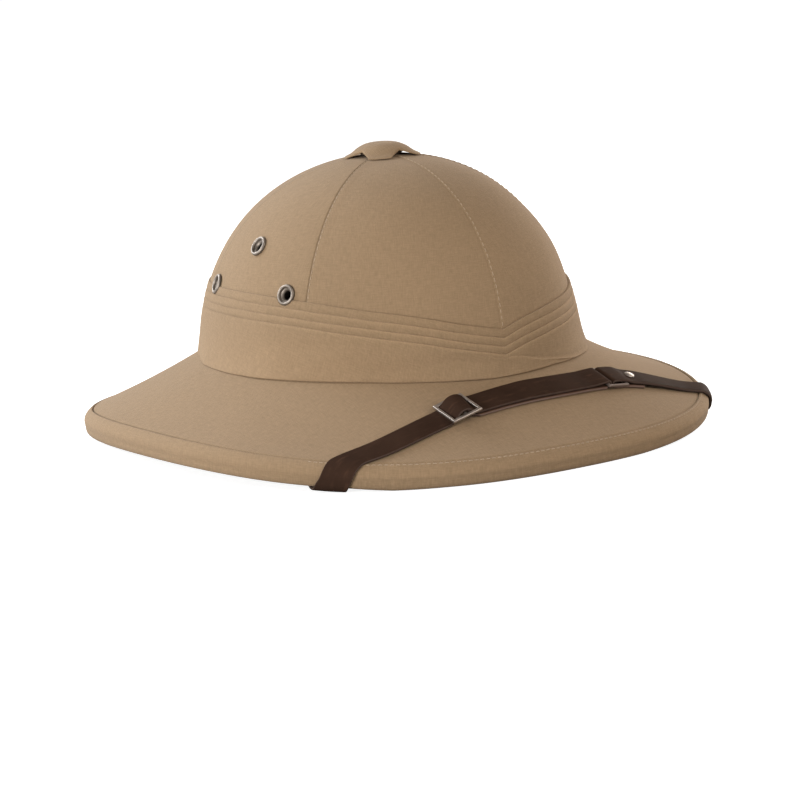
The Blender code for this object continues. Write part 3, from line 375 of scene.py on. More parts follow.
class BrimSection:
    """Upright section of the brim at a turn: "out" is level from the rim's seam, "up" is height."""

    def __init__(self, turn):
        foot = oval(turn, CROWN_HALF_WIDTH + BAND_FOOT_OUT, CROWN_HALF_LENGTH + BAND_FOOT_OUT)
        foot.y += CROWN_CENTRE_Y
        self.seam = oval(turn, RIM_HALF_WIDTH, RIM_HALF_LENGTH, RIM_SQUARENESS)
        self.width = (self.seam - foot).length
        self.outward = (self.seam - foot) / self.width
        depth = RIM_DEPTH + lookup(RIM_DEEPER, in_degrees(turn))
        self.deepening = depth / RIM_DEPTH
        self.seam.z = max(RIM_SEAM_Z + RIM_SADDLE * cos(2 * turn) + RIM_RIPPLE * cos(4 * turn), depth)
        self.climb = BAND_FOOT_Z + BAND_FOOT_SADDLE * cos(2 * turn) - self.seam.z
        self.sag = smooth_lookup(BRIM_SAG, in_degrees(turn))

    def flat(self, inward, depth=0.0):
        """Out and up of a point under the brim's cloth; inward is 0 at the seam, 1 at the band's foot."""
        up = inward * self.climb - self.sag * 4 * inward * (1 - inward)
        slope = (self.climb - self.sag * 4 * (1 - 2 * inward)) / self.width
        steep = sqrt(1 + slope * slope)
        return Vector((-inward * self.width - depth * slope / steep, up - depth / steep))

    def place(self, out_up):
        return self.seam + self.outward * out_up[0] + Vector((0.0, 0.0, out_up[1]))

    def at(self, inward, depth=0.0, lift=0.0):
        """Point under the brim's cloth, lifted straight up."""
        out, up = self.flat(inward, depth)
        return self.place((out, up + lift))

    def rim_corner(self, out, down):
        return self.place((out, -down * self.deepening))

    def inward_of_crown(self, depth):
        return 1.0 + (BAND_FOOT_OUT + depth) / self.width

    def cover_height(self, out):
        return self.at(self.inward_of_crown(-out)).z


def rim_line(section, parts=3):
    """Outer side of the binding, from its lip round the rim and in underneath."""
    line = smooth_line([(out, -down * section.deepening) for out, down in RIM_SECTION], parts)
    depth = 2 * SKIN + BRIM_WALL
    return line + [section.flat(BINDING_TUCK * share, depth) for share in (0.3, 0.6, 1.0)]


def even_turns(count):
    return [2 * pi * step / count - pi for step in range(count)]


# ---- meshes

def add_object(name, data):
    made = bpy.data.objects.new(name, data)
    bpy.context.collection.objects.link(made)
    return made


def make_mesh(name, points, faces, finish, cloth_map=None, sharp=40, tones=None):
    """Object from points and faces, with the cloth's lie at each face's corners and each point's tone."""
    mesh = bpy.data.meshes.new(name)
    mesh.from_pydata([tuple(point) for point in points], [], faces)
    if tones:
        mesh.attributes.new(TONE, "FLOAT", "POINT").data.foreach_set("value", tones)
    if cloth_map:
        layer = mesh.uv_layers.new(name=CLOTH_MAP)
        layer.data.foreach_set("uv", [value for face in cloth_map for corner in face for value in corner])
    mesh.shade_smooth()
    mesh.set_sharp_from_angle(angle=radians(sharp))
    mesh.materials.append(finish)
    return add_object(name, mesh)


def dress(piece, slot, *nodes):
    """The piece rides on the helmet and stands for some of the solids, which it hides; the slot is not used.
    """
    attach(piece, "root")
    if nodes:
        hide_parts(*nodes)


def grid_faces(rows, columns, wrap_rows=False, wrap_columns=False):
    """Quads over rows of points; with a wrap the last row or column joins the first."""
    faces = []
    for row in range(rows if wrap_rows else rows - 1):
        for column in range(columns if wrap_columns else columns - 1):
            after, beside = (row + 1) % rows, (column + 1) % columns
            faces.append((row * columns + column, row * columns + beside,
                          after * columns + beside, after * columns + column))
    return faces


def level_map(points, faces):
    """Cloth that lies level, seen from above."""
    return [[(points[corner].x, points[corner].y) for corner in face] for face in faces]


def ring_loft(name, sections, finish, flat_cloth=False, lean=0.0, tones=None):
    """Closed solid through closed sections all round the helmet; its cloth follows them or lies flat."""
    rows, columns = len(sections), len(sections[0])
    points = [point for section in sections for point in section]
    faces = grid_faces(rows, columns, True, True)
    if flat_cloth:
        return make_mesh(name, points, faces, finish, level_map(points, faces), tones=tones)
    around = distances([section[0] for section in sections + sections[:1]])
    along = [distances(section + section[:1]) for section in sections]
    cloth_map, level, tilt = [], cos(lean), sin(lean)
    for row in range(rows):
        for column in range(columns):
            corners = ((row, column), (row, column + 1), (row + 1, column + 1), (row + 1, column))
            spots = [(around[i], along[i % rows][j]) for i, j in corners]
            cloth_map.append([(u * level + v * tilt, v * level - u * tilt) for u, v in spots])
    return make_mesh(name, points, faces, finish, cloth_map, tones=tones)


def turned(name, profile, place, sides, finish, sharp=40, tones=()):
    """Solid turned about the place's Z axis from a profile of (radius, height), going up its outer side."""
    points, rings, point_tones, faces = [], [], [], []
    for index, (radius, height) in enumerate(profile):
        count = sides if radius else 1
        rings.append([len(points) + side % count for side in range(sides)])
        for side in range(count):
            angle = 2 * pi * side / sides
            points.append(place @ Vector((radius * cos(angle), radius * sin(angle), height)))
        point_tones += tones[index:index + 1] * count
    if profile[0][0]:
        rings.append(rings[0])
    for first, second in zip(rings, rings[1:]):
        for corners in zip(first, first[1:] + first[:1], second[1:] + second[:1], second):
            faces.append(tuple(dict.fromkeys(corners)))
    return make_mesh(name, points, faces, finish, sharp=sharp, tones=point_tones)


def facing(origin, upward, ahead):
    """Placing matrix with Z along upward and X as near ahead as it can be."""
    z = upward.normalized()
    y = z.cross(ahead).normalized()
    return Matrix.Translation(origin) @ Matrix((y.cross(z), y, z)).transposed().to_4x4()


def pierce(target, places, radius, low, high):
    """Cuts round holes through a piece, each along its place's Z axis."""
    for number, place in enumerate(places):
        drum = ((0.0, low), (radius, low), (radius, high), (0.0, high))
        cutter = turned("cutter_%d" % number, drum, place, 40, target.data.materials[0])
        boolean = target.modifiers.new("hole", "BOOLEAN")
        boolean.object = cutter
        bpy.context.view_layer.update()
        shape = target.evaluated_get(bpy.context.evaluated_depsgraph_get())
        mesh = bpy.data.meshes.new_from_object(shape)
        target.modifiers.clear()
        target.data = mesh
        bpy.data.objects.remove(cutter)


def stitch(points, faces, start, end, outward):
    """Adds one stitch, a thread that dives into the cloth at both ends."""
    along = end - start
    side = along.cross(outward).normalized()
    first, sides, rings = len(points), 6, 7
    for ring in range(rings):
        share = ring / (rings - 1)
        arch = sin(pi * share)
        middle = start + along * share + outward * STITCH_RADIUS * (1.1 * arch ** 0.5 - 0.7)
        thick = STITCH_RADIUS * (0.45 + 0.55 * arch ** 0.4)
        for corner in range(sides):
            angle = 2 * pi * corner / sides
            points.append(middle + side * (thick * cos(angle)) + outward * (thick * sin(angle)))
    made = [(a, d, c, b) for a, b, c, d in grid_faces(rings, sides, False, True)]
    made += [range(sides), reversed(range((rings - 1) * sides, rings * sides))]
    faces += [tuple(first + corner for corner in face) for face in made]


def stitch_piece(name, lines, finish, pitch, length):
    """Stitches a pitch apart along lines of (point, outward) pairs."""
    points, faces = [], []
    for line in lines:
        places = [point for point, _ in line]
        ways = distances(places)
        for step in range(int((ways[-1] - length) / pitch) + 1):
            start, end = step * pitch, step * pitch + length
            outward = line[stretch_at(ways, step * pitch + length / 2)[0] + 1][1]
            stitch(points, faces, point_at(places, ways, start), point_at(places, ways, end), outward)
    dress(make_mesh(name, points, faces, finish, sharp=80), "khaki_cotton")


# ---- finishes

KHAKI = (0.290, 0.197, 0.115)
THREAD = (0.375, 0.275, 0.178)
PITH = (0.50, 0.43, 0.31)
LEATHER = (0.033, 0.0178, 0.0118)
LEATHER_EDGE = (0.090, 0.064, 0.053)
CLOUD = (0.3, 0.7)  # where on a noise a colour is darkest and lightest


class Finish:
    """A material in the making; each input is a number, a tuple or the socket that feeds it."""

    def __init__(self, name, colour, roughness, metallic=0.0):
        self.material = bpy.data.materials.new(name)
        self.material.use_nodes = True
        self.tree = self.material.node_tree
        self.shader = self.tree.nodes["Principled BSDF"]
        self.relief = None
        self.set({"Base Color": (*colour, 1.0), "Roughness": roughness, "Metallic": metallic})

    def feed(self, node, inputs):
        for name, value in inputs.items():
            if isinstance(value, (float, tuple)):
                node.inputs[name].default_value = value
            else:
                self.tree.links.new(value, node.inputs[name])
        return node

    def set(self, inputs):
        self.feed(self.shader, inputs)

    def node(self, kind, inputs=None):
        return self.feed(self.tree.nodes.new("ShaderNode" + kind), inputs or {})

    def place(self):
        return self.node("TexCoord").outputs["Object"]

    def lie(self):
        """Where on its cloth or leather a point lies."""
        lie = self.node("UVMap")
        lie.uv_map = CLOTH_MAP
        return lie.outputs["UV"]

    def noise(self, vector, scale, detail, stretch=None):
        """Noise over a vector; a stretch scales each axis first."""
        if stretch:
            vector = self.node("Mapping", {"Scale": stretch, "Vector": vector}).outputs["Vector"]
        return self.node("TexNoise", {"Scale": scale, "Detail": detail, "Vector": vector}).outputs["Fac"]

    def cells(self, vector, scale, feature="F1"):
        cells = self.node("TexVoronoi", {"Scale": scale, "Vector": vector})
        cells.feature = feature
        return cells.outputs["Distance"]

    def threads(self, vector, pitch, direction):
        """Rows of threads a pitch apart, from 0 between them to 1 on their tops."""
        wave = self.node("TexWave", {"Scale": 0.314 / pitch, "Distortion": 0.6, "Detail": 1.0,
                                     "Detail Scale": 1.5, "Vector": vector})
        wave.bands_direction = direction
        return wave.outputs["Fac"]

    def maths(self, operation, first, second):
        node = self.node("Math", {0: first, 1: second})
        node.operation = operation
        return node.outputs["Value"]

    def shades(self, factor, *stops):
        """Colour ramp over a factor between two stops of (position, colour)."""
        blend = self.node("ValToRGB", {"Fac": factor})
        for element, (position, colour) in zip(blend.color_ramp.elements, stops):
            element.position = position
            element.color = (*colour, 1.0)
        return blend.outputs["Color"]

    def uneven(self, factor, colour, *brightness):
        """The colour times two brightnesses, one at each end of a cloudy factor."""
        return self.shades(factor, *((stop, [value * by for value in colour])
                                     for stop, by in zip(CLOUD, brightness)))

    def mixed(self, factor, first, second, kind="MIX"):
        node = self.tree.nodes.new("ShaderNodeMix")
        node.data_type = "RGBA"
        node.blend_type = kind
        return self.feed(node, {0: factor, 6: first, 7: second}).outputs[2]

    def times(self, first, second):
        return self.mixed(1.0, first, second, "MULTIPLY")

    def toned(self, colour):
        """The shader's colour, made lighter or darker by the mesh's tones: painted light and shade."""
        painted_light_and_shade = self.node("Attribute")
        painted_light_and_shade.attribute_name = TONE
        self.set({"Base Color": self.times(colour, self.maths("ADD", painted_light_and_shade.outputs["Fac"], 1.0))})

    def bump(self, height, distance, strength):
        """Relief over the relief that there is already."""
        node = self.node("Bump", {"Distance": distance, "Strength": strength, "Height": height})
        if self.relief:
            self.feed(node, {"Normal": self.relief})
        self.relief = node.outputs["Normal"]
        self.set({"Normal": self.relief})

    def roughened(self, factor, low, high):
        reach = self.node("MapRange", {"To Min": low, "To Max": high, "Value": factor})
        self.set({"Roughness": reach.outputs["Result"]})


def cotton():
    """Plain-woven cotton: fine threads both ways, short slubs, faint uneven dye and a dry sheen."""
    cloth = Finish("khaki_cotton", KHAKI, 0.9)
    lie, place = cloth.lie(), cloth.place()
    weave = cloth.maths("MULTIPLY", cloth.threads(lie, 0.62 * MM, "X"), cloth.threads(lie, 0.55 * MM, "Y"))
    slubs = cloth.maths("ADD", cloth.noise(lie, 1.0, 2.0, (1600.0, 190.0, 1.0)),
                        cloth.noise(lie, 1.0, 2.0, (190.0, 1600.0, 1.0)))
    slubs = cloth.maths("MULTIPLY", slubs, 0.5)
    tone = cloth.uneven(cloth.noise(place, 14.0, 3.0), KHAKI, 0.97, 1.03)
    tone = cloth.times(tone, cloth.shades(slubs, (0.34, (0.90, 0.90, 0.89)), (0.66, (1.10, 1.10, 1.105))))
    gaps = cloth.shades(weave, (0.0, (0.78, 0.76, 0.74)), (0.45, (1.05, 1.05, 1.05)))
    tone = cloth.mixed(0.9, tone, cloth.times(tone, gaps))
    fleck = cloth.noise(place, 420.0, 2.0)
    specks = cloth.shades(fleck, (0.36, (0.97, 0.97, 0.965)), (0.64, (1.025, 1.025, 1.025)))
    cloth.toned(cloth.times(tone, specks))
    cloth.roughened(slubs, 0.84, 0.98)
    cloth.set({"Specular IOR Level": 0.18, "Sheen Weight": 0.05, "Sheen Roughness": 0.5})
    cloth.bump(slubs, 0.10 * MM, 0.8)
    cloth.bump(weave, 0.10 * MM, 0.9)
    return cloth.material


def thread():
    twist = Finish("stitch_thread", THREAD, 0.75)
    strand = twist.noise(twist.place(), 2600.0, 2.0)
    twist.set({"Base Color": twist.uneven(strand, THREAD, 0.72, 1.15)})
    twist.bump(strand, 0.06 * MM, 1.0)
    return twist.material


def pith():
    """Pressed pith: matte, buff, with short flat flakes and small pores."""
    body = Finish("pressed_pith", PITH, 0.92)
    place = body.place()
    flakes = body.cells(place, 420.0)
    tone = body.uneven(body.noise(place, 30.0, 5.0), PITH, 0.82, 1.08)
    grain = body.shades(flakes, (0.0, (1.04, 1.04, 1.04)), (0.6, (0.9, 0.89, 0.87)))
    body.set({"Base Color": body.times(tone, grain)})
    body.bump(flakes, 0.35 * MM, 0.7)
    body.bump(body.noise(place, 900.0, 3.0), 0.2 * MM, 0.6)
    return body.material


def leather():
    """Smooth dark leather: fine grain, soft creases, and lighter, burnished cut edges."""
    hide = Finish("dark_leather", LEATHER, 0.4)
    lie, place = hide.lie(), hide.place()
    grain = hide.cells(place, 1500.0, "SMOOTH_F1")
    scuffs = hide.noise(lie, 1.0, 4.0, (90.0, 420.0, 1.0))
    tone = hide.uneven(hide.noise(place, 60.0, 4.0), LEATHER, 0.85, 1.2)
    tone = hide.times(tone, hide.shades(scuffs, (0.56, (1.0, 1.0, 1.0)), (0.8, (1.7, 1.65, 1.6))))
    across = hide.node("SeparateXYZ", {"Vector": lie}).outputs["Y"]
    from_middle = hide.maths("MULTIPLY", hide.maths("ABSOLUTE", across, 0.0), 100.0)  # centimetres
    edge = hide.shades(from_middle, (STRAP_WIDTH * 50 - 0.045, (0.0, 0.0, 0.0)),
                       (STRAP_WIDTH * 50 + 0.02, (1.0, 1.0, 1.0)))
    hide.toned(hide.mixed(edge, tone, (*LEATHER_EDGE, 1.0)))
    hide.roughened(scuffs, 0.6, 0.76)
    hide.set({"Specular IOR Level": 0.03, "IOR": 1.25})
    hide.bump(grain, 0.05 * MM, 0.5)
    hide.bump(scuffs, 0.25 * MM, 0.35)
    return hide.material


def nickel(name, colour, low, high):
    """Nickel plate with fine brush lines, dulled patches and small pits."""
    plate = Finish(name, colour, low, 1.0)
    place = plate.place()
    cloud = plate.noise(place, 260.0, 4.0)
    plate.toned(plate.uneven(cloud, colour, 0.9, 1.06))
    plate.roughened(cloud, low, high)
    plate.bump(plate.noise(place, 1.0, 2.0, (400.0, 2600.0, 2600.0)), 0.01 * MM, 0.3)
    return plate.material


# ---- crown

def seam_relief(distance, share):
    """Height of the cloth beside a seam: a groove on it and a low welt on its far side."""
    groove = -SEAM_GROOVE * share * fading(abs(distance), 0.55 * MM) ** 1.3
    if distance < 0:
        return groove - 0.12 * MM * fading(-distance, 3.0 * MM) ** 2
    welt = WELT_HEIGHT * (1.0 - ramp(distance, WELT_WIDTH * 0.6, WELT_WIDTH * 1.5))
    pulled = 0.16 * MM * fading(abs(distance - WELT_STITCH), 0.7 * MM)
    return groove + welt * ramp(distance, 0.0, 0.45 * MM) - pulled


def crown_swell(turn, rise):
    """The cloth stands fuller over the wearer's left front."""
    degrees = in_degrees(turn)
    around = ramp(degrees, 12.0, 45.0) * (1.0 - ramp(degrees, 56.0, 76.0))
    return CROWN_SWELL * around * ramp(rise, 0.0, 0.15) * (1.0 - ramp(rise, 0.26, 0.5))


def crown_relief(turn, rise):
    """The swell and the slow unevenness of the glued cloth."""
    place = crown_at(turn, rise)
    slow, quick = noise.noise(place * 22.0), noise.noise(place * 70.0 + Vector((7, 0, 0)))
    return crown_swell(turn, rise) + 0.22 * MM * slow + 0.08 * MM * quick


def crown_radius(turn, rise):
    point = crown_at(turn, rise)
    middle_y = crown_middle_y((point.z - CROWN_FOOT_Z) / CROWN_HEIGHT)
    return max(sqrt(point.x ** 2 + (point.y - middle_y) ** 2), 0.1 * MM)


def gore_columns(start, end, radius):
    """Turns across a gore, close together beside its seams."""
    widest = GORE_EDGE_OFFSETS[-1] * MM
    reach = min(widest / radius, 0.38 * (end - start))
    near = [offset * MM / widest * reach for offset in GORE_EDGE_OFFSETS]
    inner = spread(start + reach, end - reach, GORE_INNER_COLUMNS)[1:-1]
    return [start] + [start + step for step in near] + inner + [end - step for step in reversed(near)] + [end]


def build_gore(index, finish, holes):
    first, last = GORE_SEAM_TURNS[index - 1], GORE_SEAM_TURNS[index]
    start, end = radians(first - (360.0 if index == 0 else 0.0)), radians(last)
    middle = (start + end) / 2
    first_tone, _, after = SEAM_SHADES.get(first, SEAM_SHADE)
    last_tone, before, _ = SEAM_SHADES.get(last, SEAM_SHADE)
    first, last = SEAM_SHARES.get(first, 1.0), SEAM_SHARES.get(last, 1.0)
    outer, inner, lies, tones = [], [], [], []
    foot = min(rise_at_height(BrimSection(turn).cover_height(0.0) + CLOTH_FOOT_OVER)
               for turn in spread(start, end, 40))
    for row in range(GORE_ROWS + 1):
        rise = foot + (CLOTH_TOP_RISE - foot) * (row / GORE_ROWS) ** 0.93
        for turn in gore_columns(start, end, crown_radius(middle, rise)):
            local = crown_radius(turn, rise)
            past, left = (turn - start) * local, (end - turn) * local
            lift = (seam_relief(past, first) + seam_relief(-left, last)) * min(1.0, local / (14 * MM))
            outer.append(crown_inside(turn, rise, -(lift + crown_relief(turn, rise))))
            inner.append(crown_inside(turn, rise, CLOTH))
            lies.append(((turn - middle) * local, rise * GORE_CLOTH_RUN))
            # Painted shade along the seams
            tones.append(min(first_tone * fading(past, after), last_tone * fading(left, before)))
    size = len(outer)
    columns = size // (GORE_ROWS + 1)
    faces = grid_faces(GORE_ROWS + 1, columns)
    faces += [tuple(size + corner for corner in reversed(face)) for face in faces]
    border = list(range(columns)) + [row * columns + columns - 1 for row in range(1, GORE_ROWS + 1)]
    border += [GORE_ROWS * columns + column for column in reversed(range(columns - 1))]
    border += [row * columns for row in reversed(range(1, GORE_ROWS))]
    faces += [(size + a, size + b, b, a) for a, b in zip(border, border[1:] + border[:1])]
    cloth_map = [[lies[corner % size] for corner in face] for face in faces]
    gore = make_mesh("crown_cloth_%d" % (index + 1), outer + inner, faces, finish, cloth_map, tones=tones * 2)
    mine = [place for turn, place in holes if start < radians(turn) < end]
    pierce(gore, mine, EYELET_BARREL_RADIUS + GAP, -6 * MM, 6 * MM)
    dress(gore, "khaki_cotton", "crown_gore_%d" % (index + 1))


def seam_stitch_lines():
    """Line of the stitches beside each crown seam, from over the band up to the cap."""
    lines = []
    for degrees in (seam for seam in GORE_SEAM_TURNS if seam != SUNK_STITCHES):
        line = []
        low = rise_at_height(smooth_lookup(BAND_TOP, degrees, 0.0) - 2 * MM)
        for rise in spread(low, SEAM_TOP_RISE, 120):
            turn = radians(degrees)
            wobble = SEAM_WOBBLE * noise.noise(Vector((degrees, rise * 16.0, 0.0)))
            turn += (WELT_STITCH + wobble) / crown_radius(turn, rise)
            high = WELT_HEIGHT - 0.08 * MM + crown_swell(turn, rise)
            line.append((crown_inside(turn, rise, -high), crown_normal(turn, rise)))
        lines.append(line)
    return lines


# ---- brim and shell

def brim_relief(section, inward):
    """Unevenness of the brim's cloth: slow waves, and short puckers by the rim's seam."""
    place, away = section.at(inward), inward * section.width
    slow = 0.35 * MM * noise.noise(place * 17.0) * min(1.0, inward * 5)
    pucker = 0.16 * MM * noise.noise(place * 120.0) * fading(away, 9 * MM)
    return slow + pucker - 0.75 * MM * fading(away, 1.6 * MM) ** 1.5


def build_brim_cloth(finish):
    sections, tones = [], []
    for turn in even_turns(BRIM_STATIONS):
        section = BrimSection(turn)
        start = 0.35 * MM / section.width
        near = [start + share * MM / section.width for share in (0.0, 0.4, 0.8, 1.3, 2.0, 3.2, 5.0)]
        inwards = near + spread(near[-1], section.inward_of_crown(0.9 * MM), 16)[1:]
        inner = [section.at(inward, CLOTH) for inward in inwards[::4]]
        inwards.reverse()
        sections.append([section.at(inward, -brim_relief(section, inward)) for inward in inwards] + inner)
        # Painted shade in the rim's seam, fading up the brim
        shade = smooth_lookup(RIM_SEAM_SHADE, in_degrees(turn))
        tones += [shade * fading((inward - start) * section.width, RIM_SEAM_REACH) for inward in inwards]
        tones += [0.0] * len(inner)
    dress(ring_loft("brim_cloth", sections, finish, True, tones=tones), "khaki_cotton", "brim_cover")


def binding_relief(turn, index):
    place = Vector((cos(turn) * 26.0, sin(turn) * 26.0, index * 0.16))
    return 0.14 * MM * noise.noise(place) + 0.08 * MM * noise.noise(place * 2.7)


def build_binding(finish):
    sections, tones = [], []
    for turn in even_turns(RIM_STATIONS):
        section = BrimSection(turn)
        degrees = in_degrees(turn)
        under = lookup(RIM_UNDER_SHADE, degrees)
        loop = []
        for index, (out, up) in enumerate(rim_line(section)):
            fade = min(1.0, index / 8.0) * (up > 2 * MM - RIM_DEPTH)
            loop.append(section.place((out + binding_relief(turn, index) * fade, up)))
            down = -up / section.deepening
            # Painted shade on the lower lobe and in the dent between the lobes
            crease = RIM_CREASE_SHADE * fading(abs(down - RIM_CREASE_DOWN), 1.1 * MM) ** 0.8
            tones.append(under * ramp(down, 6.2 * MM, 7.6 * MM) + crease * ramp(degrees, -60.0, -30.0))
        inner = [section.at(BINDING_TUCK, 2 * SKIN + BRIM_WALL - CLOTH)]
        inner += [section.rim_corner(out, down) for out, down in reversed(RIM_INNER_CORNERS)]
        sections.append(loop + inner)
        tones += [0.0] * len(inner)
    dress(ring_loft("rim_strip", sections, finish, tones=tones), "khaki_cotton", "rim_binding")


def rim_stitch_line():
    line = []
    for turn in even_turns(720) + [pi]:
        if turn >= radians(RIM_STITCHES_FROM):
            section = BrimSection(turn)
            line.append((section.place((RIM_STITCH_OUT, -0.25 * MM)),
                         (section.outward * 0.35 + Vector((0, 0, 1))).normalized()))
    return line


def build_shell(finish, holes):
    """Crown and brim of pressed pith, seen from below and through the eyelets."""
    sections = []
    under, deep = SKIN + BRIM_WALL, SKIN + CROWN_WALL
    for turn in even_turns(SHELL_STATIONS):
        section = BrimSection(turn)
        inside = section.inward_of_crown(deep)
        lowest = rise_at_height(section.cover_height(-CLOTH) + CLOTH_FOOT_OVER)
        points = [crown_inside(turn, rise, SKIN) for rise in reversed(spread(lowest, CLOTH_TOP_RISE, 20))]
        points += [section.at(inward, SKIN) for inward in (section.inward_of_crown(SKIN), 0.7, 0.35)]
        points += [section.rim_corner(out - 0.4 * MM, down) for out, down in RIM_INNER_CORNERS]
        points += [section.at(inward, under) for inward in spread(0.12, inside - 0.10, 10)]
        points += [section.at(inside - 0.06, under, 0.3 * MM), section.at(inside - 0.02, under, 1.2 * MM)]
        points += [crown_inside(turn, rise, deep) for rise in spread(0.0, CLOTH_TOP_RISE, 22)]
        sections.append(points)
    rows, columns = len(sections), len(sections[0])
    points = [point for section in sections for point in section]
    faces = grid_faces(rows, columns, True, False)
    points += [crown_at(0.0, 1.0) - Vector((0, 0, depth)) for depth in (SKIN, deep)]
    for row in range(rows):
        here, there = row * columns, (row + 1) % rows * columns
        faces.append((len(points) - 2, here, there))
        faces.append((len(points) - 1, there + columns - 1, here + columns - 1))
    shell = make_mesh("pith_shell", points, faces, finish)
    pierce(shell, [place for _, place in holes], EYELET_BARREL_RADIUS + GAP, -11 * MM, 5 * MM)
    dress(shell, "pith", "helmet_shell")


# ---- wound band

def fold_heights(degrees):
    """Heights of the four fold edges, each a little uneven."""
    top = smooth_lookup(BAND_TOP, degrees, 0.0)
    heights = []
    for number, drop in enumerate(PLEAT_DROPS):
        place = Vector((cos(radians(degrees)) * 5.0, sin(radians(degrees)) * 5.0, number * 3.1))
        heights.append(top - drop + 0.3 * MM * noise.noise(place) * ramp(abs(degrees), 2.0, 12.0))
    return heights


def wrap_edge(degrees, fold, foot):
    """Height of the outer wrap's edge and how far it stands out; it runs down from the V to the left."""
    start, end = fold - 0.5 * MM, foot + 2.6 * MM
    if degrees > 0:
        edge = smooth_lookup(WRAP_EDGE, min(degrees, WRAP_END_TURN)) - fading(degrees, 5.0) * 1.2 * MM
        return min(start, edge), WRAP_STEP_OUT * (1 - ramp(degrees, 26.0, WRAP_END_TURN))
    return start + (end - start) * ramp(degrees, -20.0, -110.0), WRAP_STEP_OUT * ramp(degrees, -16.0, 0.0)


def wrinkle(turn, height, foot, fold):
    """Soft slanting wrinkles of the plain wrap, strongest at the right front."""
    degrees = in_degrees(turn)
    middle = sin(pi * min(max((height - foot) / (fold - foot), 0.0), 1.0)) ** 0.8
    run = turn * 0.108
    front = ramp(degrees, -75.0, -45.0) * (1.0 - ramp(degrees, -6.0, 6.0))
    slant = Vector((run * 34.0 + height * 40.0, height * 95.0 - run * 20.0, 3.0))
    soft = Vector((run * 16.0, height * 60.0, 9.0))
    return middle * ((0.35 + 1.6 * front) * 0.7 * MM * noise.noise(slant) + 0.4 * MM * noise.noise(soft))


def band_section(turn):
    """Points and tones (painted light and shade) of the band's section, from its upper edge down over the
    folds and up inside.
    """
    degrees = in_degrees(turn)
    lines = fold_heights(degrees)
    section = BrimSection(turn)
    # The last table gives the plain wrap's painted light
    hem_out, roll, bend, lighter = (lookup(table, degrees)
                                    for table in (BAND_HEM_OUT, BAND_HEM_ROLL, BAND_BEND, BAND_LIGHTER))
    foot = section.cover_height(hem_out - 0.4 * MM) + GAP / 2
    lip = PLEAT_LIP
    front = ramp(degrees, -90.0, -62.0)
    loop = [(lines[0] - 0.15 * MM, BAND_GAP - 0.1 * MM, 0.0)]
    out = smooth_lookup(BAND_FIRST_OUT, degrees)
    for number, line in enumerate(lines):
        if number:
            # Painted shade in the crevice above each lower fold, strongest at the front
            for over, beside, shade in ((1.6, 0.12, -0.05 * front), (0.6, 0.06, -0.07), (0.02, -0.02, -0.10)):
                loop.append((line + over * MM, out + beside * MM, shade))
            out += smooth_lookup(BAND_STEP_OUT, degrees)
        # Painted highlight on each lower fold's lip
        light = 0.13 * front * (number > 0)
        for back, rise in arc(0.0, 30.0, 60.0, 90.0):
            loop.append((line - lip + lip * back, out - lip + lip * rise, light))
        loop.append((line - 0.9 * MM, out + 0.04 * MM, light * 0.6))
        following = lines[number + 1] if number < 3 else line - 4 * MM
        loop.append((line * 0.6 + following * 0.4, out + 0.1 * MM, 0.0))
    fold = lines[-1] - 1.6 * MM
    edge, step = wrap_edge(degrees, fold, foot)
    panel, low = out + 0.15 * MM, foot + roll + 0.3 * MM
    edge = max(edge, low + 0.45 * MM)
    lapped = step / WRAP_STEP_OUT * (degrees > 0)

    def plain(height):
        """The plain wrap follows the crown and leans out only at its foot."""
        share = min(max((fold - height) / (fold - low), 0.0), 1.0)
        return panel + (hem_out - panel) * share ** bend + wrinkle(turn, height, foot, fold)

    # Painted shade just above the outer wrap's edge, a painted highlight on its lip, and the wrap's painted
    # light all down it
    for part in range(7):
        height = fold + (edge + 0.3 * MM - fold) * (part + 0.3) / 7
        loop.append((height, plain(height), -0.12 * lapped * (part == 6) + lighter * part / 6))
    for drop, rise in arc(0.0, 45.0, 90.0):
        height = edge - 0.3 * MM + 0.3 * MM * drop
        loop.append((height, plain(height) + step * (0.3 + 0.7 * rise), 0.12 * lapped + lighter))
    for height in spread(edge - 0.4 * MM, low, 9)[1:]:
        loop.append((height, plain(height) + step * (1 - ramp(height, foot + 5 * MM, low)), lighter))
    for back, drop in arc(20.0, 50.0, 80.0, 110.0):
        loop.append((low - roll * drop, hem_out - roll * (1 - back), lighter))
    inner_foot = section.cover_height(BAND_GAP) + GAP
    for share in (0.0, 0.35, 0.7, 0.96):
        loop.append((inner_foot + (lines[0] - inner_foot) * share, BAND_GAP, 0.0))
    return [beside_crown(turn, height, away) for height, away, _ in loop], [tone for _, _, tone in loop]


def build_band(finish, holes):
    sections = [band_section(turn) for turn in even_turns(BAND_STATIONS)]
    tones = [tone for _, section_tones in sections for tone in section_tones]
    loops = [points for points, _ in sections]
    band = ring_loft("wound_cloth", loops, finish, lean=radians(BAND_LEAN), tones=tones)
    low = [place for turn, place in holes if abs(abs(turn) - EYELET_TURNS_RISES[1][0]) > 1.0]
    pierce(band, low, EYELET_FLANGE_RADIUS + 0.15 * MM, -0.4 * MM, 9 * MM)
    dress(band, "khaki_cotton", "wound_band")


# ---- vent cap

def cap_reach(degrees):
    """Radius of the cap's edge, this far from the middle of a foot."""
    away = abs((degrees + 45.0) % 90.0 - 45.0)
    if away <= CAP_FOOT_HALF_ANGLE:
        return CAP_RADIUS * (1.0 - 0.02 * (away / CAP_FOOT_HALF_ANGLE) ** 4)
    share = (away - CAP_FOOT_HALF_ANGLE) / (45.0 - CAP_FOOT_HALF_ANGLE)
    return CAP_FOOT_RADIUS + (CAP_NOTCH_RADIUS - CAP_FOOT_RADIUS) * share ** 0.5


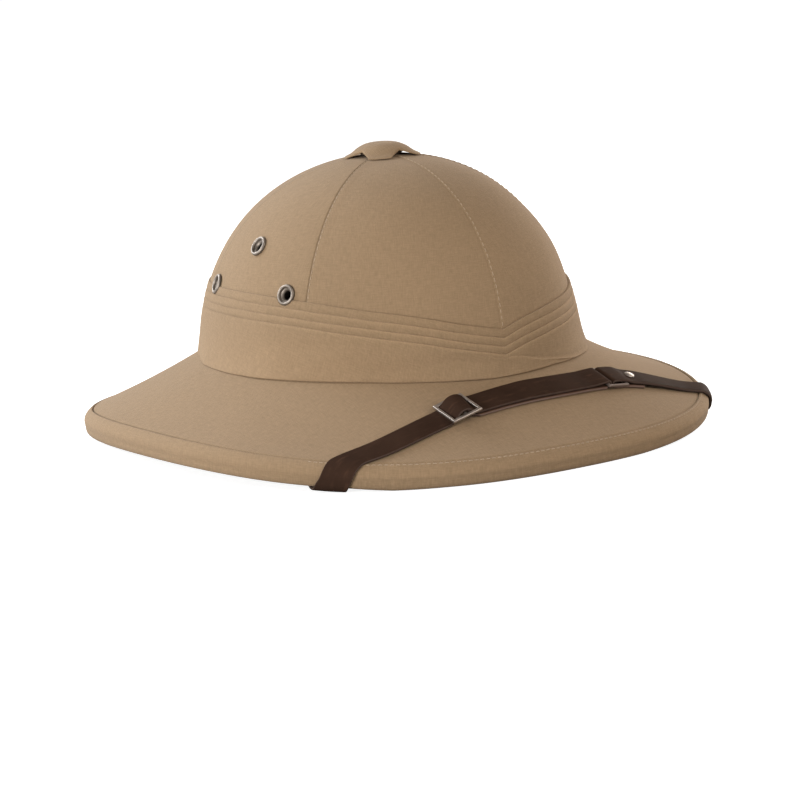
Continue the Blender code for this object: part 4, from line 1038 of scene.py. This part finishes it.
def cap_point(degrees, radius, depth):
    angle = radians(CAP_TURN + degrees)
    x = CAP_CENTRE_X + radius * sin(angle)
    y = CROWN_TOP_Y - radius * cos(angle)
    thinner = 0.8 * MM * ramp(radius, 0.6 * CAP_RADIUS, CAP_RADIUS) * (1 - depth / CAP_WALL)
    over = GAP + CAP_WALL + smooth_lookup(CAP_PROFILE, radius)
    return Vector((x, y, crown_over(x, y) + over - depth - thinner))


def build_cap(finish):
    steps = [(i / 18 * 0.96, 0.0) for i in range(1, 19)]
    steps += [(0.985, 0.08 * MM), (0.996, 0.25 * MM), (1.0, 0.55 * MM), (1.0, 1.0 * MM), (0.99, 1.35 * MM)]
    steps += [(0.96 * (1 - i / 12), CAP_WALL) for i in range(12)]
    points = [cap_point(0.0, 0.0, 0.0)]
    for share, depth in steps:
        for spoke in range(CAP_SPOKES):
            degrees = 360.0 * spoke / CAP_SPOKES
            radius = cap_reach(degrees) * share
            place = Vector((radius * sin(radians(degrees)), radius * cos(radians(degrees)), 0.0))
            relief = 0.12 * MM * noise.noise(place * 160.0)
            points.append(cap_point(degrees, radius, depth - relief * (depth == 0.0)))
    points.append(cap_point(0.0, 0.0, CAP_WALL))
    faces = [tuple(1 + corner for corner in (a, d, c, b))
             for a, b, c, d in grid_faces(len(steps), CAP_SPOKES, False, True)]
    last = len(points) - 1
    for i in range(CAP_SPOKES):
        j = (i + 1) % CAP_SPOKES
        faces += [(0, 1 + i, 1 + j), (last, last - CAP_SPOKES + j, last - CAP_SPOKES + i)]
    cap = make_mesh("cap_cloth", points, faces, finish, level_map(points, faces), 50)
    dress(cap, "khaki_cotton", "vent_cap")


def build_post(finish):
    """Cloth-covered post that carries the cap, seen only as a dark core behind its feet; the dark is painted
    shade.
    """
    crown_top = CROWN_FOOT_Z + CROWN_HEIGHT
    foot, neck = crown_top - SKIN + GAP, crown_top + POST_HEAD_OVER
    head, rim = POST_HEAD_RADIUS, cap_point(0.0, POST_HEAD_RADIUS, CAP_WALL).z - 2 * GAP
    profile = [(0.0, foot), (POST_RADIUS, foot), (POST_RADIUS, neck), (head - 0.4 * MM, neck),
               (head, neck + 0.4 * MM), (head, rim - 0.3 * MM), (head - 0.3 * MM, rim),
               (0.0, cap_point(0.0, 0.0, CAP_WALL).z - 2 * GAP)]
    post = turned("cap_core", profile, Matrix.Translation((0.0, CROWN_TOP_Y, 0.0)), 48, finish,
                  tones=[POST_SHADE] * len(profile))
    dress(post, "khaki_cotton", "cap_post")


# ---- eyelets

def eyelet_holes():
    """Turn in degrees and place of each eyelet, the right ones first."""
    holes = []
    for side in (-1, 1):
        for degrees, rise in EYELET_TURNS_RISES:
            turn = radians(side * degrees)
            place = facing(crown_at(turn, rise), crown_normal(turn, rise), Vector((0.0, 0.0, 1.0)))
            holes.append((side * degrees, place))
    return holes


def build_eyelets(finish, holes):
    """Rolled eyelets: a rounded flange that curls into the barrel, and a washer inside."""
    flange, barrel, bore = EYELET_FLANGE_RADIUS, EYELET_BARREL_RADIUS, EYELET_BORE_RADIUS
    back = -(SKIN + CROWN_WALL) - 0.8 * MM
    roll, foot = 0.85 * MM, 0.55 * MM
    profile = [(bore, back - MM), (flange - 1.3 * MM, back - MM), (flange - MM, back - 0.5 * MM),
               (flange - 1.3 * MM, back), (barrel, back), (barrel, 0.6 * MM), (flange - 0.3 * MM, 0.35 * MM)]
    # Painted shade at the flange's foot, in the funnel and down the bore
    tones = [EYELET_BORE_SHADE] + [0.0] * 5 + [EYELET_FOOT_SHADE]
    angles = range(-10, 191, 20)
    profile += [(flange - roll + roll * out, foot + (EYELET_FLANGE_HEIGHT - foot) * lift)
                for out, lift in arc(*angles)]
    tones += [ramp(angle, 40.0, -10.0) * EYELET_FOOT_SHADE + ramp(angle, 110.0, 190.0) * EYELET_FUNNEL_SHADE
              for angle in angles]
    profile += [(bore + out * MM, up * MM) for out, up in ((1.0, 0.1), (0.3, -0.5), (0.0, -1.2), (0.0, -3.0))]
    tones += [EYELET_FUNNEL_SHADE, EYELET_FUNNEL_SHADE * 1.5, EYELET_BORE_SHADE, EYELET_BORE_SHADE]
    for number, (turn, place) in enumerate(holes):
        tag = "%s_%d" % ("right" if turn < 0 else "left", number % 3 + 1)
        eyelet = turned("eyelet_rolled_" + tag, profile, place, 56, finish, 60, tones)
        dress(eyelet, "nickel", "eyelet_" + tag)


# ---- chin strap

def strap_bed(turn):
    """Line the strap lies on and each point's way along it from the rim's seam."""
    section = BrimSection(turn)
    inside = section.inward_of_crown(SKIN + CROWN_WALL)
    under = 2 * SKIN + BRIM_WALL - CLOTH
    down = [section.place(out_up) for out_up in [(0.0, 0.0)] + rim_line(section, 2)[6:]]
    down += [section.at(0.5, under), section.at(inside - 0.12, under)]
    down.append(section.at(inside - 0.02, under, 1.2 * MM))
    down += [crown_inside(turn, rise, SKIN + CROWN_WALL) for rise in (0.0, 0.12, 0.237)]
    points = down[::-1] + [section.at(inward) for inward in spread(0.0, 1.0, 12)[1:]]
    ways = distances(points)
    return points, [way - ways[len(down) - 1] for way in ways]


def bed_point(turn, way):
    return point_at(*strap_bed(turn), way)


def bed_frame(turn, way):
    """Outward normal of the bed and its tangent round the helmet."""
    angle, length = radians(1.0), 1.6 * MM
    around = (bed_point(turn + angle, way) - bed_point(turn - angle, way)) / (2 * angle)
    upward = (bed_point(turn, way + length) - bed_point(turn, way - length)).normalized()
    return around.cross(upward).normalized(), around


def rim_share(way):
    inner, low, high, outer = STRAP_RIM_WAYS
    share = min((way - inner) / (low - inner), (outer - way) / (outer - high))
    return min(max(share, 0.0), 1.0)


class StrapLane:
    """The strap's centre line on its bed: a place along it, across it and over it gives a point."""

    def __init__(self, route):
        self.marks = smooth_line([(radians(turn), way) for turn, way in route], 6)
        self.ways = distances([bed_point(*mark) for mark in self.marks])
        self.length = self.ways[-1]

    def mark(self, along):
        return point_at(self.marks, self.ways, along)

    def along_at(self, degrees):
        low, high = 0.0, self.length
        for _ in range(40):
            middle = (low + high) / 2
            low, high = (middle, high) if self.mark(middle).x < radians(degrees) else (low, middle)
        return low

    def point(self, along, across=0.0, over=0.0):
        reach = 3.0 * MM
        mark = self.mark(along)
        ahead = self.mark(min(along + reach, self.length)) - self.mark(max(along - reach, 0.0))
        metric = bed_frame(*mark)[1].length
        run = Vector((ahead.x * metric, ahead.y)).normalized()
        skew = rim_share(mark.y) * -run.x / run.y if rim_share(mark.y) else 0.0
        spot = mark + Vector(((run.x * skew - run.y) * across / metric, (run.y * skew + run.x) * across))
        return bed_point(*spot) + bed_frame(*spot)[0] * over


def fine_path(*points):
    """Points (along, over) a step apart on the given line, its corners eased."""
    path = []
    for first, second in zip(points, points[1:]):
        first, second = Vector(first), Vector(second)
        count = max(1, round((second - first).length / STRAP_STEP))
        path += [first.lerp(second, part / count) for part in range(count)]
    path.append(Vector(points[-1]))
    for _ in range(3):
        eased = [(a + b * 2 + c) / 4 for a, b, c in zip(path, path[1:], path[2:])]
        path = [path[0]] + eased + [path[-1]]
    return path


def fold(middle, over, radius, direction):
    """Half circle of points (along, over) from the top down."""
    return [Vector((middle + direction * radius * sin(angle), over + radius * cos(angle)))
            for angle in spread(0.0, pi, 10)]


def strip_outline():
    """Across and over of a strap's section: flat leather with rounded edges."""
    half, thick, radius = STRAP_WIDTH / 2, STRAP_THICKNESS / 2, STRAP_ARRIS
    upper = [(-half + radius - radius * back, thick - radius + radius * rise)
             for back, rise in arc(0.0, 30.0, 60.0, 90.0)]
    upper += [(-half + 1.2 * MM, thick), (-half * 0.45, thick + 0.04 * MM), (0.0, thick + 0.06 * MM)]
    upper += [(-across, over) for across, over in reversed(upper[:-1])]
    return upper + [(across, -over if abs(over) < thick else -thick) for across, over in reversed(upper)]


def leather_strip(lane, path, finish, part, under):
    """Strip of leather along a path; the cut edges of its sections "under" another layer carry a painted
    highlight.
    """
    outline, places = strip_outline(), distances(path)
    size, count = len(outline), len(path)
    points, tones, cloth_map = [], [], []
    for index, (along, over) in enumerate(path):
        ahead = path[min(index + 1, count - 1)] - path[max(index - 1, 0)]
        lean = Vector((-ahead.y, ahead.x)).normalized()
        wider = UNDER_WIDER if index in under else 1.0
        points += [lane.point(along + lean.x * thick, across * wider, over + lean.y * thick)
                   for across, thick in outline]
        # Painted highlight on the lower layers' cut edges
        tones += [EDGE_PAINTED_HIGHLIGHT * (index in under and abs(across) > STRAP_WIDTH / 2 - 0.5 * MM)
                  for across, _ in outline]
    faces = [tuple(reversed(face)) for face in grid_faces(count, size, False, True)]
    cloth_map = [[(places[corner // size], outline[corner % size][0]) for corner in face] for face in faces]
    for row, order in ((0, range(size)), (count - 1, reversed(range(size)))):
        faces.append(tuple(row * size + corner for corner in order))
        cloth_map.append([(places[row], STRAP_WIDTH / 2)] * size)
    strip = make_mesh("strap_leather_" + part, points, faces, finish, cloth_map, 60, tones)
    dress(strip, "dark_leather", "strap_" + part)


def frame_mesh(name, width, side_bar, bars_across, place, finish, node):
    """Flat metal frame with rounded arrises: two side bars and some cross bars along its X axis."""
    half = BAR / 2
    xs = sorted(x for middle in bars_across for x in (middle - half, middle + half))
    ys = [-width / 2, -width / 2 + side_bar, width / 2 - side_bar, width / 2]
    solid = [(i, j) for i in range(len(xs) - 1) for j in range(3) if i % 2 == 0 or j != 1]
    points, faces, number = [], [], {}

    def corner(i, j, level):
        if (i, j, level) not in number:
            number[i, j, level] = len(points)
            points.append(place @ Vector((xs[i], ys[j], half if level else -half)))
        return number[i, j, level]

    for i, j in solid:
        square = ((i, j), (i + 1, j), (i + 1, j + 1), (i, j + 1))
        faces.append(tuple(corner(a, b, 1) for a, b in square))
        faces.append(tuple(corner(a, b, 0) for a, b in reversed(square)))
        sides = (i, j - 1), (i + 1, j), (i, j + 1), (i - 1, j)
        for beside, first, second in zip(sides, square, square[1:] + square[:1]):
            if beside not in solid:
                faces.append((corner(*first, 0), corner(*second, 0), corner(*second, 1), corner(*first, 1)))
    frame = make_mesh(name, points, faces, finish)
    bevel = frame.modifiers.new("arrises", "BEVEL")
    bevel.width = FRAME_ARRIS
    bevel.segments = 3
    bevel.limit_method = "ANGLE"
    dress(frame, "nickel", node)


def place_between(lane, first, second):
    """Place between two (along, over) points of the lane, X along the strap."""
    start, end = lane.point(first[0], 0.0, first[1]), lane.point(second[0], 0.0, second[1])
    middle = (first[0] + second[0]) / 2
    side = lane.point(middle, 1.0 * MM, first[1]) - lane.point(middle, -1.0 * MM, first[1])
    ahead = end - start
    return facing((start + end) / 2, ahead.cross(side), ahead)


def build_strap(finish, metal, dull_shaded_plate):
    """Strap, slider, ring and rivet. The long part doubles back round the ring to the slider."""
    lane = StrapLane(STRAP_ROUTE)
    half = STRAP_THICKNESS / 2
    flat = STRAP_LIFT + half
    doubled = flat + STRAP_THICKNESS + GAP
    turn_radius = BAR / 2 + 0.1 * MM + half
    loop = flat + turn_radius
    raised = loop + turn_radius
    slider, ring = lane.along_at(SLIDER_TURN), lane.along_at(RING_TURN)
    reach, ring_reach = (SLIDER_LENGTH - BAR) / 2, (RING_LENGTH - BAR) / 2
    left_bar = flat + half + 1.05 * MM + BAR / 2
    right_bar = doubled + half + GAP + 0.75 * MM + BAR / 2
    hump = (left_bar + right_bar) / 2 + BAR / 2 + GAP + half + 1.2 * MM
    ring_in, ring_out = ring - ring_reach, ring + ring_reach

    long_path = fine_path(
        (0.0, flat), (slider - 16 * MM, flat), (slider - 6.9 * MM, flat + 0.1 * MM),
        (slider - 2.2 * MM, hump), (slider, hump + 0.1 * MM), (slider + 3.6 * MM, hump - 0.3 * MM),
        (slider + 7.2 * MM, doubled + 0.3 * MM), (slider + 10 * MM, doubled),
        (ring_in - 12 * MM, doubled), (ring_in - 1.2 * MM, raised))
    long_path += fold(ring_in, loop, turn_radius, 1)
    upper = len(long_path)
    long_path += fine_path((ring_in - 1.2 * MM, flat), (slider + 9.0 * MM, flat),
                           (slider + 6.6 * MM, flat + 0.5 * MM), (slider + 2.6 * MM, flat + 4.4 * MM))
    leather_strip(lane, long_path, finish, "long", range(upper, len(long_path) - 6))

    tail = ring_out + SHORT_TAIL
    short_fold = ring_in + 2 * turn_radius + STRAP_THICKNESS + GAP  # slack: it nearly meets the long part
    short_path = fine_path(
        (lane.length, flat), (lane.along_at(STRAP_SETTLES), flat), (tail + 1 * MM, doubled),
        (ring_out + 6.2 * MM, doubled), (ring_out + 1.2 * MM, raised), (short_fold, raised))
    short_path += fold(short_fold, loop, turn_radius, -1)[1:]
    upper = len(short_path)
    short_path += fine_path((short_fold + 1.2 * MM, flat), (tail, flat))
    leather_strip(lane, short_path[::-1], finish, "short", range(len(short_path) - upper))

    slider_place = place_between(lane, (slider - reach, left_bar), (slider + reach, right_bar))
    slider_place = slider_place @ Matrix.Rotation(radians(-SLIDER_TILT), 4, "X")
    frame_mesh("slider_frame", SLIDER_WIDTH, SLIDER_SIDE_BAR, (-reach, 0.0, reach), slider_place, metal,
               "slider_buckle")
    ring_place = place_between(lane, (ring_in, loop), (ring_out, loop))
    frame_mesh("ring_frame", RING_WIDTH, BAR, (-ring_reach, ring_reach), ring_place, dull_shaded_plate, "strap_ring")
    build_rivet(lane, ring_out + RIVET_PAST_RING, doubled, metal)


def build_rivet(lane, along, layer, metal):
    origin = lane.point(along)
    ahead = lane.point(along + MM) - lane.point(along - MM)
    place = facing(origin, lane.point(along, 0.0, MM) - origin, ahead)
    top = layer + STRAP_THICKNESS / 2 + 0.1 * MM
    head, high, shank, lip = RIVET_HEAD_RADIUS, RIVET_HEAD_HEIGHT, RIVET_SHANK_RADIUS, 0.25 * MM
    seat, foot = top - 0.1 * MM, top - 1.2 * MM
    profile = [(0.0, foot), (shank, foot), (shank, seat), (head * 0.9, seat)]
    profile += [(head * out, top + lip + (high - lip) * lift) for out, lift in arc(*range(0, 90, 10))]
    profile.append((0.0, top + high))
    dress(turned("rivet_dome", profile, place, 48, metal, 60), "nickel", "strap_rivet")


# ---- stage

FLOOR = (0.5, 0.5, 0.5)
FLOOR_GLOW = 0.87  # for the camera alone: white paper, lit from behind
FLOOR_HALF = 60.0
LIGHTS_AIM = Vector((0.0, 0.0, 60 * MM))


def build_stage():
    paper = Finish("floor_paper", FLOOR, 0.95)
    seen = paper.node("LightPath").outputs["Is Camera Ray"]
    glow = paper.maths("MULTIPLY", seen, FLOOR_GLOW)
    paper.set({"Emission Color": (1.0, 1.0, 1.0, 1.0), "Emission Strength": glow})
    corners = [(FLOOR_HALF * x, FLOOR_HALF * y, 0.0) for x, y in ((-1, -1), (1, -1), (1, 1), (-1, 1))]
    make_mesh("floor", corners, [(0, 1, 2, 3)], paper.material)


def looking_back(turn, rise):
    """Direction from an aim to whatever looks at it, from a turn and rise in degrees."""
    turn, rise = radians(turn), radians(rise)
    return Vector((sin(turn) * cos(rise), -cos(turn) * cos(rise), sin(rise)))


def build_camera():
    data = bpy.data.cameras.new("camera")
    data.sensor_width = SENSOR
    data.lens = PIXELS_PER_MM * CAMERA_DISTANCE / MM / FRAME_PIXELS * SENSOR
    data.shift_x = (FRAME_PIXELS / 2 - AIM_PIXEL[0]) / FRAME_PIXELS
    data.shift_y = (AIM_PIXEL[1] - FRAME_PIXELS / 2) / FRAME_PIXELS
    data.clip_end = 200.0
    camera = add_object("camera", data)
    back = looking_back(CAMERA_TURN, CAMERA_RISE)
    level = back.to_track_quat("Z", "Y").to_matrix().to_4x4()
    camera.matrix_world = (Matrix.Translation(CAMERA_AIM + back * CAMERA_DISTANCE) @ level
                           @ Matrix.Rotation(radians(-CAMERA_ROLL), 4, "Z"))
    bpy.context.scene.camera = camera


def area_light(name, turn, rise, distance, size, power, colour=(1.0, 1.0, 1.0)):
    """Soft square light at a turn and rise in degrees."""
    data = bpy.data.lights.new(name, "AREA")
    data.size = size
    data.energy = power
    data.color = colour
    light = add_object(name, data)
    back = looking_back(turn, rise)
    light.location = LIGHTS_AIM + back * distance
    light.rotation_euler = back.to_track_quat("Z", "Y").to_euler()


def build_lights():
    """White behind the helmet for the camera, soft warm light on it, and five lights."""
    world = bpy.data.worlds.new("studio")
    bpy.context.scene.world = world
    world.use_nodes = True
    nodes, links = world.node_tree.nodes, world.node_tree.links
    blend = nodes.new("ShaderNodeMixShader")
    links.new(nodes.new("ShaderNodeLightPath").outputs["Is Camera Ray"], blend.inputs["Fac"])
    for slot, node, colour, strength in (
            (1, nodes.new("ShaderNodeBackground"), (1.0, 0.96, 0.91, 1.0), 0.33),
            (2, nodes["Background"], (1.0, 1.0, 1.0, 1.0), 1.0)):
        node.inputs["Color"].default_value = colour
        node.inputs["Strength"].default_value = strength
        links.new(node.outputs["Background"], blend.inputs[slot])
    links.new(blend.outputs["Shader"], nodes["World Output"].inputs["Surface"])
    area_light("key", -145.0, 30.0, 1.1, 0.8, 14.6, (0.87, 0.93, 1.0))
    area_light("low", -70.0, 5.0, 1.2, 0.5, 12.3)
    area_light("side", 110.0, 15.0, 1.3, 0.8, 15.5, (1.0, 0.94, 0.87))
    area_light("fill", 20.0, 25.0, 1.3, 0.8, 8.0, (1.0, 0.94, 0.88))
    area_light("back", 180.0, 35.0, 1.3, 0.8, 5.2)
    bpy.context.scene.view_settings.view_transform = "Standard"


# ---- the helmet

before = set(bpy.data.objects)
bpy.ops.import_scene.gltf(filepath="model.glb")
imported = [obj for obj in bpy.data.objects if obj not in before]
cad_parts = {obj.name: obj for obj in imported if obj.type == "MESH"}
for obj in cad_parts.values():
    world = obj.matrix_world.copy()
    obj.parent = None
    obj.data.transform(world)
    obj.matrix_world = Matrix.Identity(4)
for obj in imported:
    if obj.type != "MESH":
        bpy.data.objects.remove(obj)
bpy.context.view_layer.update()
khaki = cotton()
sewn = thread()
# One nickel in three copies: the eyelets' and the ring's are darker, painted shade, and rougher
plate = nickel("nickel_plate", (0.40, 0.345, 0.305), 0.42, 0.55)
eyelet_metal = nickel("eyelet_plate", (0.29, 0.246, 0.207), 0.48, 0.6)
ring_metal = nickel("ring_plate", (0.24, 0.19, 0.165), 0.6, 0.7)
holes = eyelet_holes()

build_camera()
build_lights()
build_stage()
for gore_index in range(len(GORE_SEAM_TURNS)):
    build_gore(gore_index, khaki, holes)
stitch_piece("crown_stitches", seam_stitch_lines(), sewn, STITCH_PITCH, STITCH_LENGTH)
build_brim_cloth(khaki)
build_binding(khaki)
stitch_piece("rim_stitches", [rim_stitch_line()], sewn, RIM_STITCH_PITCH, RIM_STITCH_LENGTH)
build_shell(pith(), holes)
build_band(khaki, holes)
build_cap(khaki)
build_post(khaki)
build_eyelets(eyelet_metal, holes)
build_strap(leather(), plate, ring_metal)
for node in ("strap_anchor_right", "strap_anchor_left"):
    bpy.data.objects[node].data.materials[0] = plate
